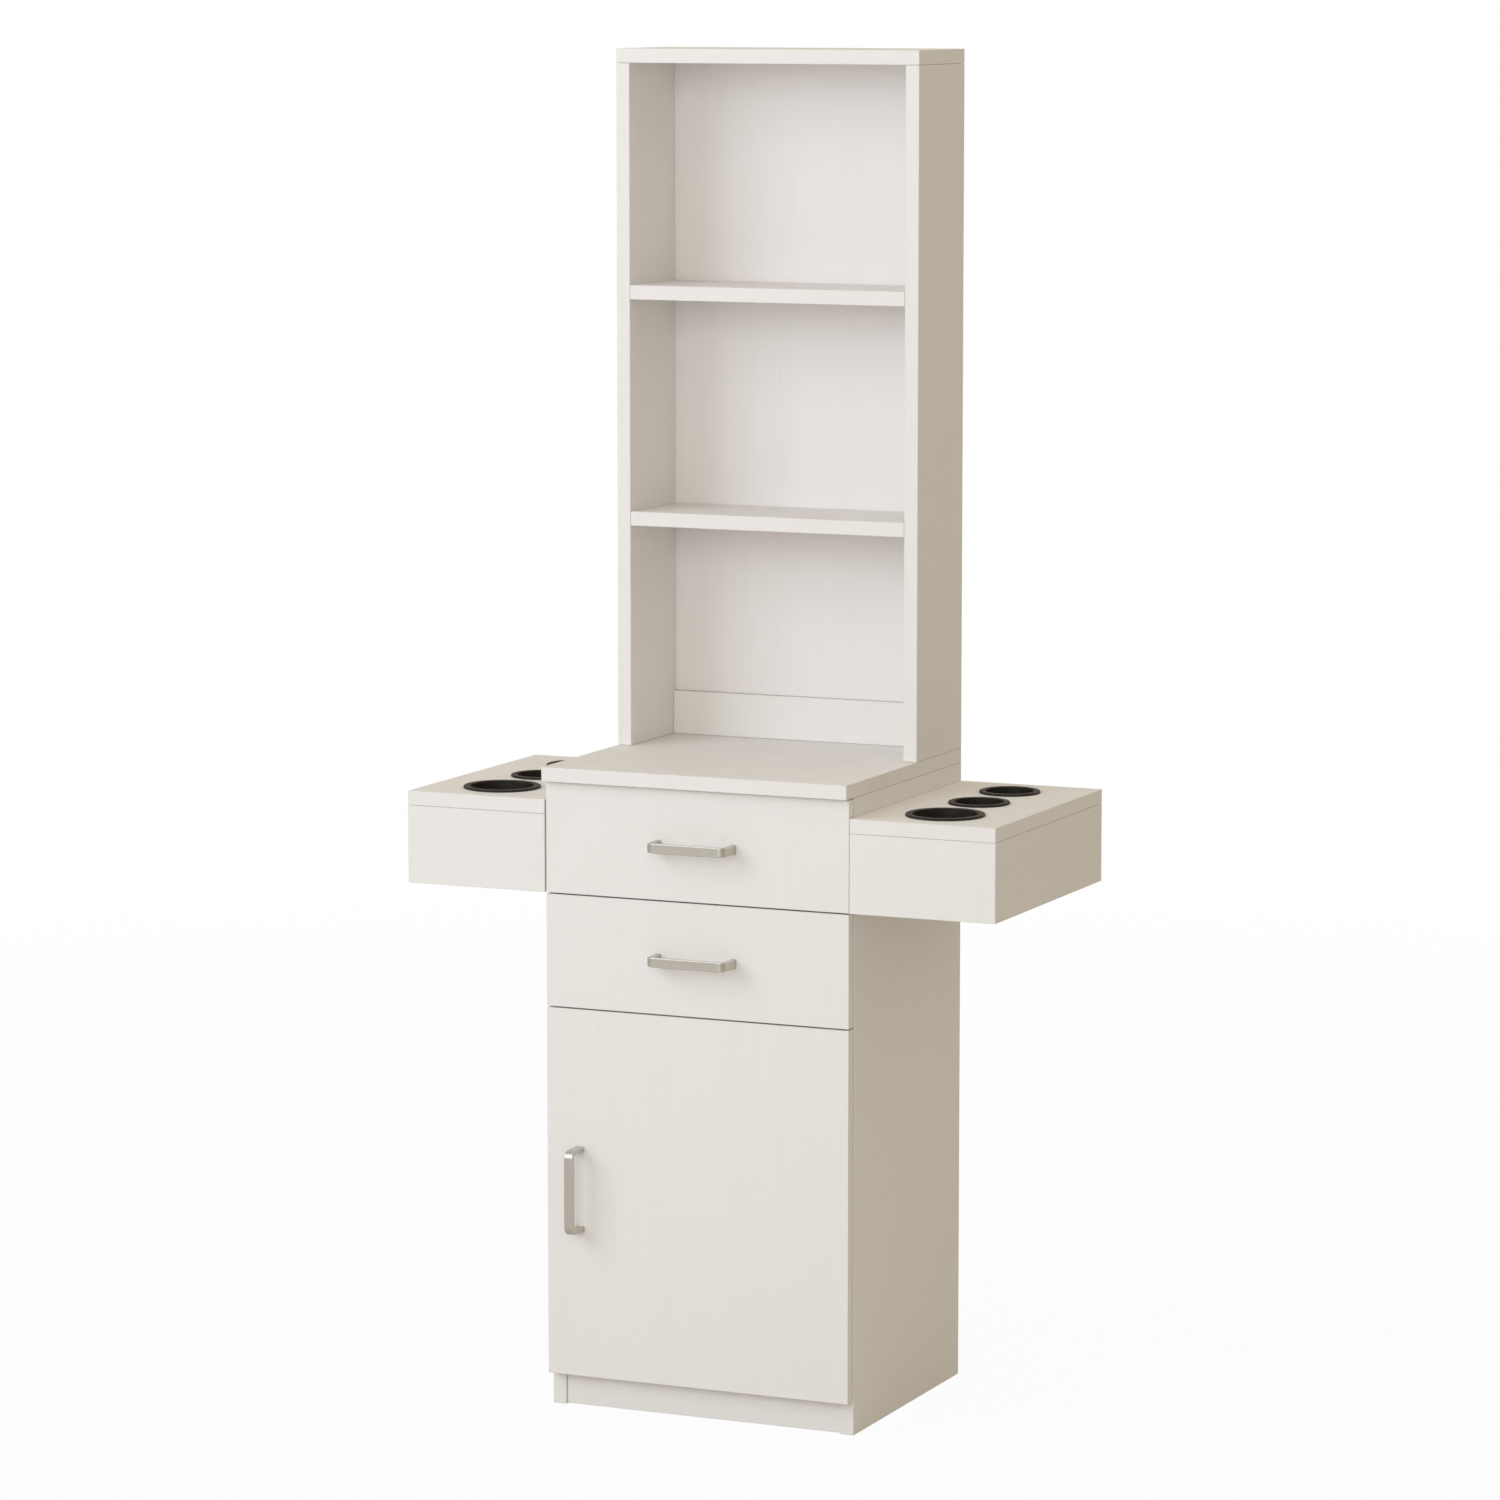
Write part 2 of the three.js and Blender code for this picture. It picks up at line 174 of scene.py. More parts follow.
def rounded(corners, radius, steps, closed=True, border=0.0):
    """An outline with its corners rounded, as points, outward normals and rim values.
    At each corner an arc touches both sides: its centre lies one radius inside both of them, and
    the normal turns evenly from the first side's to the second's. The outward side is on the
    right of the direction of travel. A border adds a point on each side, that far before and
    after each arc; rim is 1 on convex arcs and 0 elsewhere. An open outline keeps its ends."""
    corners = np.asarray(corners, float)
    ahead = unit(np.roll(corners, -1, axis=0) - corners)
    behind = np.roll(ahead, 1, axis=0)
    cross = behind[:, 0] * ahead[:, 1] - behind[:, 1] * ahead[:, 0]
    turn = np.arctan2(cross, (behind * ahead).sum(axis=1))
    radius = np.broadcast_to(np.asarray(radius, float), turn.shape)
    bend = np.sign(turn) * radius
    first = np.arctan2(-behind[:, 0], behind[:, 1])
    angle = first[:, None] + turn[:, None] * np.linspace(0, 1, steps + 1)
    normals = np.stack((np.cos(angle), np.sin(angle)), axis=-1)
    to_start = radius * np.tan(np.abs(turn) / 2)
    centre = corners - behind * to_start[:, None] - bend[:, None] * normals[:, 0]
    points = centre[:, None] + bend[:, None, None] * normals
    rim = np.repeat((turn > 1e-6).astype(float)[:, None], steps + 1, axis=1)
    if border:
        before = points[:, :1] - behind[:, None] * border
        after = points[:, -1:] + ahead[:, None] * border
        points = np.concatenate((before, points, after), axis=1)
        normals = np.concatenate((normals[:, :1], normals, normals[:, -1:]), axis=1)
        rim = np.pad(rim, ((0, 0), (1, 1)))
    if closed:
        points, normals, rim = points.reshape(-1, 2), normals.reshape(-1, 2), rim.ravel()
    else:
        end_normals = np.array((ahead[0, ::-1], behind[-1, ::-1])) * (1, -1)
        points = np.concatenate((corners[:1], points[1:-1].reshape(-1, 2), corners[-1:]))
        inner = normals[1:-1].reshape(-1, 2)
        normals = np.concatenate((end_normals[:1], inner, end_normals[1:]))
        rim = np.concatenate(([0.0], rim[1:-1].ravel(), [0.0]))
    step = np.linalg.norm(points - np.roll(points, 1, axis=0), axis=1)
    kept = step > SAME
    kept[0] |= not closed
    return points[kept], normals[kept], rim[kept]


def circle(centre, radius, steps):
    """A round outline: centre + radius * (cos, sin), with the radial direction as its normal."""
    angle = np.linspace(0, TURN, steps, endpoint=False)
    normals = np.stack((np.cos(angle), np.sin(angle)), axis=-1)
    return np.asarray(centre) + radius * normals, normals, np.zeros(steps)


def rectangle(low, high):
    return np.array(((low[0], low[1]), (high[0], low[1]), (high[0], high[1]), (low[0], high[1])))


def as_hole(outline):
    """The outline seen from the material around it: run backwards, with its normals inward."""
    points, normals, rim = outline
    return points[::-1], -normals[::-1], rim[::-1]


def facing(direction):
    """Columns u, v, w of a right-handed frame whose w is the direction and whose v is up."""
    w = np.asarray(direction, float)
    v = Y if abs(w[2]) > 0.9 else Z
    return np.stack((np.cross(v, w), v, w), axis=1)


class Shell:
    """One closed surface, gathered patch by patch: points, normals, rim values, run values (the
    distance along and across a carried profile) and faces."""

    def __init__(self):
        self.points = np.zeros((0, 3))
        self.normals = np.zeros((0, 3))
        self.rim = np.zeros(0)
        self.run = np.zeros((0, 2))
        self.faces = []

    def add(self, points, normals, rim, run=None):
        """Takes in a grid of points and gives back their numbers in the same layout."""
        start = len(self.points)
        count = points.size // 3
        run = np.zeros((*points.shape[:-1], 2)) if run is None else run
        self.points = np.concatenate((self.points, points.reshape(-1, 3)))
        self.normals = np.concatenate((self.normals, normals.reshape(-1, 3)))
        self.rim = np.concatenate((self.rim, np.broadcast_to(rim, points.shape[:-1]).ravel()))
        self.run = np.concatenate((self.run, run.reshape(-1, 2)))
        return start + np.arange(count).reshape(points.shape[:-1])

    def weave(self, numbers):
        """Quads between neighbouring rows of a grid whose rows close on themselves."""
        after = np.roll(numbers, -1, axis=1)
        quads = np.stack((numbers[:-1], after[:-1], after[1:], numbers[1:]), axis=-1)
        self.faces += quads.reshape(-1, 4).tolist()

    def carry(self, outline, section):
        """A section carried round an outline. With section coordinates a and b, a point is the
        outline's point plus a times its normal, lifted by b; the normal is the section's normal
        turned the same way. Returns the numbers of the grid, one row for each section point."""
        points, normals, outline_rim = outline
        places, tilts, section_rim = section
        flat = points + normals * places[:, None, :1]
        height = np.broadcast_to(places[:, None, 1:], (*flat.shape[:2], 1))
        out = normals * tilts[:, None, :1]
        up = np.broadcast_to(tilts[:, None, 1:], (*flat.shape[:2], 1))
        rim = np.maximum(outline_rim[None], section_rim[:, None])
        numbers = self.add(
            np.concatenate((flat, height), axis=-1), np.concatenate((out, up), axis=-1), rim
        )
        self.weave(numbers)
        return numbers

    def fill(self, outer, inner=()):
        """Flat faces that fill the outer ring and leave the inner ones open. The outer ring turns
        to the left as seen from outside."""
        if not inner:
            self.faces.append(outer.tolist())
            return
        rings = [outer, *inner]
        numbers = np.concatenate(rings)
        triangles = np.array(tessellate_polygon([self.points[ring] for ring in rings]))
        a, b, c = (self.points[numbers[triangles[:, i]]] for i in range(3))
        up = (np.cross(b - a, c - a) * self.normals[outer[0]]).sum(axis=1)
        triangles[up < 0] = triangles[up < 0][:, ::-1]
        self.faces += numbers[triangles].tolist()

    def joined(self, other):
        """This shell with another one beside it."""
        both = Shell()
        both.faces = self.faces + [[n + len(self.points) for n in f] for f in other.faces]
        both.points = np.concatenate((self.points, other.points))
        both.normals = np.concatenate((self.normals, other.normals))
        both.rim = np.concatenate((self.rim, other.rim))
        both.run = np.concatenate((self.run, other.run))
        return both

    def placed(self, origin, direction=Z):
        """The shell with its w axis along the direction and its own origin at a point."""
        axes = facing(direction)
        copy = Shell()
        copy.points = self.points @ axes.T + np.asarray(origin, float)
        copy.normals = self.normals @ axes.T
        copy.rim = self.rim
        copy.run = self.run
        copy.faces = self.faces
        return copy


def all_of(shells):
    """The shells gathered into one."""
    whole = Shell()
    for shell in shells:
        whole = whole.joined(shell)
    return whole


def section(corners, radius, border=0.0):
    """An open section for carrying round an outline, its inner corners rounded."""
    return rounded(corners, radius, sizes().arc_steps, closed=False, border=border)


def edge_section(low, high, arris, floor=False):
    """The section of a board's edge between two heights, as the arcs alone, so that it ends on
    the flat faces one arris in. With a floor, the lower arc turns the other way, into a recess."""
    inward = arris * 2
    start = inward if floor else -inward
    corners = ((start, low), (0, low), (0, high), (-inward, high))
    return [part[1:-1] for part in section(corners, arris)]


def slab(outline, low, high, arris, cuts=()):
    """A board with rounded edges: the section of its edge is carried round the outline, and flat
    faces close both sides. Each cut is an outline with the depth that it goes down from the upper
    face, or None where it goes right through."""
    shell = Shell()
    grid = shell.carry(outline, edge_section(low, high, arris))
    lower, upper = [], []
    for shape, depth in cuts:
        blind = depth is not None
        wall = edge_section(high - depth if blind else low, high, arris / 2, floor=blind)
        numbers = shell.carry(as_hole(shape), wall)
        upper.append(numbers[-1])
        if blind:
            shell.faces.append(numbers[0][::-1].tolist())
        else:
            lower.append(numbers[0])
    shell.fill(grid[0][::-1], lower)
    shell.fill(grid[-1], upper)
    return shell


def turned(profile, radius, steps, border=0.0):
    """A body turned about w: an open profile of distance and height, its corners rounded, carried
    round the axis. Both ends are closed by flat discs."""
    shell = Shell()
    _, outward, rim = circle((0, 0), 1, steps)
    grid = shell.carry((outward * 0, outward, rim), section(profile, radius, border))
    shell.faces.append(grid[0][::-1].tolist())
    shell.faces.append(grid[-1].tolist())
    return shell


def swept(path, tangents, across, half_width, half_thick, round_share, steps):
    """A flat strip carried along a path. At each path point the section is a rounded rectangle
    (a superellipse in its corners only) of the given half width along 'across' and half
    thickness along the path's own normal. Run values hold the distances along and around."""
    shape, shape_normals, rim = rounded(rectangle((-1, -1), (1, 1)), round_share, steps, border=0.15)
    side = np.cross(tangents, across)
    wide = half_width[:, None, None] * shape[None, :, :1]
    thick = half_thick[:, None, None] * shape[None, :, 1:]
    points = path[:, None] + wide * across + thick * side[:, None]
    normals = unit(
        shape_normals[None, :, :1] * across / half_width[:, None, None]
        + shape_normals[None, :, 1:] * side[:, None] / half_thick[:, None, None]
    )
    along = np.concatenate(([0], np.cumsum(np.linalg.norm(np.diff(path, axis=0), axis=1))))
    run = np.broadcast_to(along[:, None, None], (*points.shape[:2], 1))
    run = np.concatenate((run, wide), axis=-1)
    shell = Shell()
    numbers = shell.add(points, normals, np.broadcast_to(rim, points.shape[:2]), run)
    shell.weave(numbers)
    shell.faces.append(numbers[0][::-1].tolist())
    shell.faces.append(numbers[-1].tolist())
    return shell


# ---------------------------------------------------------------------------------------------
# Pieces


def extent(node):
    """A node's lowest and highest corners as arrays."""
    low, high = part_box(node)
    return np.array(low), np.array(high)


def body_of(node):
    return frame["nodes"][node]["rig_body"]


def piece(name, shell, material, body, replaces=()):
    """A mesh object from a shell, riding on a body. Its 'rim' attribute marks rounded edges,
    'place' holds each point measured from the middle of the piece and 'half' the half size."""
    mesh = bpy.data.meshes.new(name)
    mesh.from_pydata(shell.points, [], shell.faces)
    low, high = shell.points.min(axis=0), shell.points.max(axis=0)
    attributes = {
        "rim": ("FLOAT", "value", shell.rim),
        "place": ("FLOAT_VECTOR", "vector", shell.points - (low + high) / 2),
        "half": ("FLOAT_VECTOR", "vector", np.broadcast_to((high - low) / 2, shell.points.shape))
    }
    for label, (kind, field, values) in attributes.items():
        attribute = mesh.attributes.new(label, kind, "POINT")
        attribute.data.foreach_set(field, values.astype(np.float32).ravel())
    if shell.run.any():
        corners = np.zeros(len(mesh.loops), np.int32)
        mesh.loops.foreach_get("vertex_index", corners)
        layer = mesh.uv_layers.new(name="run")
        layer.data.foreach_set("uv", shell.run[corners].astype(np.float32).ravel())
    mesh.polygons.foreach_set("use_smooth", np.ones(len(mesh.polygons), bool))
    mesh.normals_split_custom_set_from_vertices(shell.normals)
    mesh.materials.append(material)
    obj = bpy.data.objects.new(name, mesh)
    bpy.context.scene.collection.objects.link(obj)
    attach(obj, body)
    if replaces:
        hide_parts(*replaces)
    return obj


def board(node, direction, material, cuts=(), arris=None):
    """A laminated board in the place of a node. The direction is that of the face that blind cuts
    go in from; cuts are in that face's own u and v."""
    corners = np.array(extent(node)) @ facing(direction)
    low, high = corners.min(axis=0), corners.max(axis=0)
    arris = arris or sizes().arris
    outline = rounded(rectangle(low, high), arris * 1.3, sizes().arc_steps)
    shell = slab(outline, low[2], high[2], arris, cuts).placed((0, 0, 0), direction)
    return piece(f"{node}_board", shell, material, body_of(node), [node])


def drilled(point, direction, radius, depth=None, steps=32):
    """A round cut at a point, for a face with that direction."""
    return circle((np.asarray(point) @ facing(direction))[:2], radius, steps), depth


def sunk(low, high, direction, radius, depth):
    """A rectangular cut between two corners, for a face with that direction."""
    corners = (np.array((low, high)) @ facing(direction))[:, :2]
    outline = rounded(rectangle(corners.min(axis=0), corners.max(axis=0)), radius, sizes().arc_steps)
    return outline, depth


def cross_head(radius, height, steps=32, recess=0.62, blade=0.14):
    """A domed screw head on w = 0. The height falls off as a circle's arc towards the edge, and a
    cross of two blades is pressed in: where the smaller of |u| and |v| is under half a blade's
    width and the larger under the recess, the surface goes down by half the head's height."""
    shares = np.concatenate((np.linspace(0.06, 0.9, 11), (0.97, 1.0)))
    angle = np.linspace(0, TURN, steps, endpoint=False)
    u = radius * shares[:, None] * np.cos(angle)
    v = radius * shares[:, None] * np.sin(angle)
    dome = height * np.sqrt(1 - 0.82 * shares[:, None] ** 2)
    least = np.minimum(np.abs(u), np.abs(v)) / radius
    most = np.maximum(np.abs(u), np.abs(v)) / radius
    inside = np.clip((blade - least) / 0.07, 0, 1) * np.clip((recess - most) / 0.12, 0, 1)
    w = dome - 0.55 * height * inside
    top = np.stack((u, v, w), axis=-1)
    slope = 0.82 * height**2 * shares[:, None] / (radius * dome)
    normals = unit(np.stack((slope * np.cos(angle), slope * np.sin(angle), np.ones_like(u)), -1))
    foot = np.stack((u[-1], v[-1], np.zeros(steps)), axis=-1)[None]
    shell = Shell()
    numbers = shell.add(
        np.concatenate((foot, top[::-1])), np.concatenate((normals[-1:] * (1, 1, 0.2), normals[::-1])),
        0.0
    )
    shell.weave(numbers)
    shell.faces.append(numbers[0][::-1].tolist())
    shell.faces.append(numbers[-1].tolist())
    return shell


def washer(inner, outer, thick, steps=32):
    """A flat ring on w = 0."""
    return slab(
        circle((0, 0), outer, steps), 0, thick, thick / 4, cuts=[(circle((0, 0), inner, steps), None)]
    )


def cap(radius, height, steps=32):
    """A low round cover cap on w = 0, its edge rounded."""
    return turned(
        ((radius / 3, 0), (radius, 0), (radius, height), (radius / 6, height * 1.15)),
        (0, 0, height * 0.6, 0), steps
    )


# ---------------------------------------------------------------------------------------------
# Shader node groups


def socket(node, name):
    """The enabled input of a node with that name."""
    return next(s for s in node.inputs if s.name == name and s.enabled)


def add(tree, kind, inputs=None, **settings):
    """A node with its settings, each input given a value or joined to an output socket."""
    node = tree.nodes.new(kind)
    for name, value in settings.items():
        setattr(node, name, value)
    for name, value in (inputs or {}).items():
        target = node.inputs[name] if isinstance(name, int) else socket(node, name)
        if isinstance(value, bpy.types.NodeSocket):
            tree.links.new(value, target)
        else:
            target.default_value = value
    return node


def maths(tree, operation, *values, clamp=False):
    node = add(tree, "ShaderNodeMath", dict(enumerate(values)), operation=operation)
    node.use_clamp = clamp
    return node.outputs[0]


def vector_maths(tree, operation, *values):
    node = add(tree, "ShaderNodeVectorMath", dict(enumerate(values)), operation=operation)
    return node.outputs["Vector"]


def ramp(tree, value, low, high, to_low=0.0, to_high=1.0):
    """The value carried from one range to another, held at both ends."""
    inputs = {"Value": value, "From Min": low, "From Max": high, "To Min": to_low, "To Max": to_high}
    return add(tree, "ShaderNodeMapRange", inputs, clamp=True).outputs["Result"]


def noise(tree, vector, scale, detail=2.0, roughness=0.5):
    inputs = {"Vector": vector, "Scale": scale, "Detail": detail, "Roughness": roughness}
    return add(tree, "ShaderNodeTexNoise", inputs).outputs["Fac"]


def blend(tree, share, first, second, kind="MIX"):
    """Two colours mixed by a share."""
    node = add(tree, "ShaderNodeMix", data_type="RGBA", blend_type=kind)
    for name, value in (("Factor", share), ("A", first), ("B", second)):
        target = socket(node, name)
        if isinstance(value, bpy.types.NodeSocket):
            tree.links.new(value, target)
        else:
            target.default_value = value
    return next(s for s in node.outputs if s.enabled)


def group(name, inputs, outputs, fill):
    """A shader node group, built once. 'fill' gets the tree and its input sockets by name, and
    gives back the output values by name."""
    tree = bpy.data.node_groups.get(name)
    if tree:
        return tree
    tree = bpy.data.node_groups.new(name, "ShaderNodeTree")
    for label, (kind, value) in inputs.items():
        entry = tree.interface.new_socket(label, in_out="INPUT", socket_type=f"NodeSocket{kind}")
        entry.default_value = value
    for label, kind in outputs.items():
        tree.interface.new_socket(label, in_out="OUTPUT", socket_type=f"NodeSocket{kind}")
    start = tree.nodes.new("NodeGroupInput")
    end = tree.nodes.new("NodeGroupOutput")
    for label, value in fill(tree, start.outputs).items():
        tree.links.new(value, end.inputs[label])
    return tree


def use(tree, group_tree, **inputs):
    """A group placed in a tree. Words of an input's name are joined by _ in the call."""
    node = tree.nodes.new("ShaderNodeGroup")
    node.node_tree = group_tree
    for name, value in inputs.items():
        target = node.inputs[name.replace("_", " ")]
        if isinstance(value, bpy.types.NodeSocket):
            tree.links.new(value, target)
        else:
            target.default_value = value
    return node.outputs


def board_grain():
    """Printed wood grain. Place is already drawn out along the grain. Shade is 1 on average and
    falls in the darker streaks; Relief falls in the fine pores."""

    def fill(tree, given):
        fine = noise(tree, given["Place"], 330, 4, 0.62)
        broad = noise(tree, given["Place"], 26, 2, 0.5)
        pores = ramp(tree, noise(tree, given["Place"], 760, 1, 0.5), 0.60, 0.72)
        fine = maths(tree, "MULTIPLY", maths(tree, "SUBTRACT", fine, 0.5), given["Fine"])
        broad = maths(tree, "MULTIPLY", maths(tree, "SUBTRACT", broad, 0.5), given["Broad"])
        dark = maths(tree, "MULTIPLY", pores, given["Pores"])
        shade = maths(tree, "SUBTRACT", maths(tree, "ADD", fine, broad), dark)
        return {"Shade": maths(tree, "ADD", shade, 1.0), "Relief": maths(tree, "SUBTRACT", 1.0, pores)}

    return group(
        "Board Grain",
        {
            "Place": ("Vector", (0, 0, 0)), "Fine": ("Float", 0.05), "Broad": ("Float", 0.03),
            "Pores": ("Float", 0.02)
        },
        {"Shade": "Float", "Relief": "Float"}, fill
    )


def board_edge():
    """How near a point of a board is to an edge. From the place and the half size, the distance
    in from each pair of faces is half - |place|; on a face one of the three is nought, so the
    middle one of the three is the distance to the nearest edge."""

    def fill(tree, given):
        inward = vector_maths(
            tree, "SUBTRACT", given["Half"], vector_maths(tree, "ABSOLUTE", given["Place"])
        )
        parts = add(tree, "ShaderNodeSeparateXYZ", {"Vector": inward}).outputs
        least = maths(tree, "MINIMUM", parts["X"], parts["Y"])
        most = maths(tree, "MAXIMUM", parts["X"], parts["Y"])
        distance = maths(tree, "MAXIMUM", least, maths(tree, "MINIMUM", most, parts["Z"]))
        border = ramp(tree, distance, given["Band"], maths(tree, "MULTIPLY", given["Band"], 1.6))
        off = maths(tree, "ABSOLUTE", maths(tree, "SUBTRACT", distance, given["Band"]))
        return {
            "Distance": distance, "Border": maths(tree, "SUBTRACT", 1.0, border),
            "Seam": ramp(tree, off, 0.0, 0.18 * MM, 1.0, 0.0)
        }

    return group(
        "Board Edge",
        {"Place": ("Vector", (0, 0, 0)), "Half": ("Vector", (1, 1, 1)), "Band": ("Float", 0.9 * MM)},
        {"Distance": "Float", "Border": "Float", "Seam": "Float"}, fill
    )


def settled_dust():
    """A thin film of dust: strongest where the surface faces up, in soft uneven patches."""

    def fill(tree, given):
        normal = add(tree, "ShaderNodeNewGeometry").outputs["Normal"]
        up = add(tree, "ShaderNodeSeparateXYZ", {"Vector": normal}).outputs["Z"]
        patches = ramp(tree, noise(tree, given["Place"], 22, 5, 0.62), 0.35, 0.75)
        specks = ramp(tree, noise(tree, given["Place"], 1500, 1, 0.5), 0.66, 0.74)
        film = maths(tree, "MULTIPLY", ramp(tree, up, 0.55, 1.0), patches)
        film = maths(tree, "ADD", film, maths(tree, "MULTIPLY", specks, film))
        return {"Mask": maths(tree, "MULTIPLY", film, given["Amount"], clamp=True)}

    return group(
        "Settled Dust", {"Place": ("Vector", (0, 0, 0)), "Amount": ("Float", 0.1)}, {"Mask": "Float"},
        fill
    )


def edge_wear():
    """Rubbed edges: the edge mask broken up by uneven handling."""

    def fill(tree, given):
        broken = ramp(tree, noise(tree, given["Place"], 60, 6, 0.7), 0.42, 0.68)
        rubbed = maths(tree, "MULTIPLY", given["Edge"], broken)
        return {"Mask": maths(tree, "MULTIPLY", rubbed, given["Amount"], clamp=True)}

    return group(
        "Edge Wear", {"Place": ("Vector", (0, 0, 0)), "Edge": ("Float", 0.0), "Amount": ("Float", 0.3)},
        {"Mask": "Float"}, fill
    )


def fine_skin():
    """The skin of moulded plastic, powder coat or paint: rounded grains with a soft waviness."""

    def fill(tree, given):
        grains = noise(tree, given["Place"], given["Scale"], 2, 0.5)
        waves = noise(tree, given["Place"], maths(tree, "MULTIPLY", given["Scale"], 0.12), 2, 0.5)
        relief = maths(tree, "ADD", grains, maths(tree, "MULTIPLY", waves, 1.4))
        return {"Relief": relief, "Shade": waves}

    return group(
        "Fine Skin", {"Place": ("Vector", (0, 0, 0)), "Scale": ("Float", 1500.0)},
        {"Relief": "Float", "Shade": "Float"}, fill
    )


def brushed_metal():
    """Brush marks in plated metal. Place is drawn out along the marks. Shade is 1 on average,
    Gloss is a roughness, and Relief is the height of the marks."""

    def fill(tree, given):
        marks = noise(tree, given["Place"], 2600, 3, 0.65)
        clouds = noise(tree, given["Place"], 70, 3, 0.55)
        off = maths(tree, "SUBTRACT", marks, 0.5)
        shade = maths(tree, "ADD", maths(tree, "MULTIPLY", off, given["Contrast"]), 1.0)
        rough = maths(tree, "ADD", maths(tree, "MULTIPLY", clouds, 0.10), given["Roughness"])
        rough = maths(tree, "ADD", rough, maths(tree, "MULTIPLY", off, 0.12))
        return {"Shade": shade, "Gloss": rough, "Relief": marks}

    return group(
        "Brushed Metal",
        {"Place": ("Vector", (0, 0, 0)), "Contrast": ("Float", 0.3), "Roughness": ("Float", 0.28)},
        {"Shade": "Float", "Gloss": "Float", "Relief": "Float"}, fill
    )


# ---------------------------------------------------------------------------------------------
# Materials

GRAIN_STRETCH = 0.022


def new_material(name):
    """A material with a lone Principled shader, and its tree and shader."""
    material = bpy.data.materials.new(name)
    material.use_nodes = True
    tree = material.node_tree
    tree.nodes.clear()
    shader = tree.nodes.new("ShaderNodeBsdfPrincipled")
    end = tree.nodes.new("ShaderNodeOutputMaterial")
    tree.links.new(shader.outputs[0], end.inputs["Surface"])
    return material, tree, shader


def object_place(tree, stretch=(1, 1, 1)):
    """Object coordinates, drawn out by the inverse of the stretch."""
    place = add(tree, "ShaderNodeTexCoord").outputs["Object"]
    mapping = add(tree, "ShaderNodeMapping", {"Vector": place, "Scale": stretch})
    return mapping.outputs["Vector"]


def attribute(tree, name, output):
    return add(tree, "ShaderNodeAttribute", attribute_name=name).outputs[output]


def scaled(tree, colour, shade):
    """A colour times a shade."""
    grey = add(tree, "ShaderNodeCombineXYZ", {"X": shade, "Y": shade, "Z": shade}).outputs[0]
    return blend(tree, 1.0, (*colour, 1), grey, "MULTIPLY")


def join(tree, shader, colour, roughness, height, depth, strength=1.0):
    """Colour, roughness and a bump of the given depth, joined to the shader."""
    bump = add(tree, "ShaderNodeBump", {"Height": height, "Distance": depth, "Strength": strength})
    tree.links.new(colour, shader.inputs["Base Color"])
    tree.links.new(roughness, shader.inputs["Roughness"])
    tree.links.new(bump.outputs["Normal"], shader.inputs["Normal"])


def laminate(name, colour, grain, strength=1.0, gloss=(0.46, 0.58)):
    """A printed and pressed laminate: grain along one axis (0, 1 or 2), a banded border at the
    edges with a fine seam, slight rubbing on the edges and a film of dust on what faces up."""
    material, tree, shader = new_material(name)
    stretch = [1.0, 1.0, 1.0]
    stretch[grain] = GRAIN_STRETCH
    place = object_place(tree, stretch)
    own = object_place(tree)
    print_ = use(
        tree, board_grain(), Place=place, Fine=0.042 * strength, Broad=0.024 * strength,
        Pores=0.022 * strength
    )
    edge = use(
        tree, board_edge(), Place=attribute(tree, "place", "Vector"),
        Half=attribute(tree, "half", "Vector"), Band=sizes().band
    )
    wear = use(tree, edge_wear(), Place=own, Edge=edge["Border"], Amount=0.35)
    dust = use(tree, settled_dust(), Place=own, Amount=0.16)
    printed = scaled(tree, colour, print_["Shade"])
    band = [c * f for c, f in zip(colour, (1.015, 1.015, 1.02))]
    banded = blend(tree, edge["Border"], printed, (*band, 1))
    seamed = blend(
        tree, maths(tree, "MULTIPLY", edge["Seam"], 0.22), banded, (*[c * 0.55 for c in colour], 1)
    )
    rubbed = blend(tree, wear["Mask"], seamed, (*[c * 0.90 for c in colour], 1))
    dusty = blend(tree, dust["Mask"], rubbed, (0.60, 0.575, 0.54, 1))
    roughness = ramp(tree, print_["Shade"], 0.96, 1.03, gloss[1], gloss[0])
    roughness = maths(tree, "ADD", roughness, maths(tree, "MULTIPLY", dust["Mask"], 0.5), clamp=True)
    height = maths(tree, "SUBTRACT", print_["Relief"], maths(tree, "MULTIPLY", edge["Seam"], 1.2))
    join(tree, shader, dusty, roughness, height, 0.05 * MM, 0.5)
    return material


def painted(name, colour, scale, roughness, depth, dust_amount=0.1, metallic=0.0):
    """Paint, powder coat or plain plastic over a smooth base."""
    material, tree, shader = new_material(name)
    own = object_place(tree)
    skin = use(tree, fine_skin(), Place=own, Scale=scale)
    wear = use(tree, edge_wear(), Place=own, Edge=attribute(tree, "rim", "Fac"), Amount=0.35)
    dust = use(tree, settled_dust(), Place=own, Amount=dust_amount)
    base = scaled(tree, colour, ramp(tree, skin["Shade"], 0.3, 0.7, 0.97, 1.03))
    rubbed = blend(tree, wear["Mask"], base, (*[c * 0.8 for c in colour], 1))
    dusty = blend(tree, dust["Mask"], rubbed, (0.56, 0.54, 0.51, 1))
    gloss = ramp(tree, skin["Shade"], 0.3, 0.7, roughness - 0.04, roughness + 0.06)
    join(tree, shader, dusty, gloss, skin["Relief"], depth, 0.6)
    shader.inputs["Metallic"].default_value = metallic
    return material


CUP_GLOSS = (0.44, 0.54)
CUP_SPECULAR = 0.22
CUP_DUST = 0.06


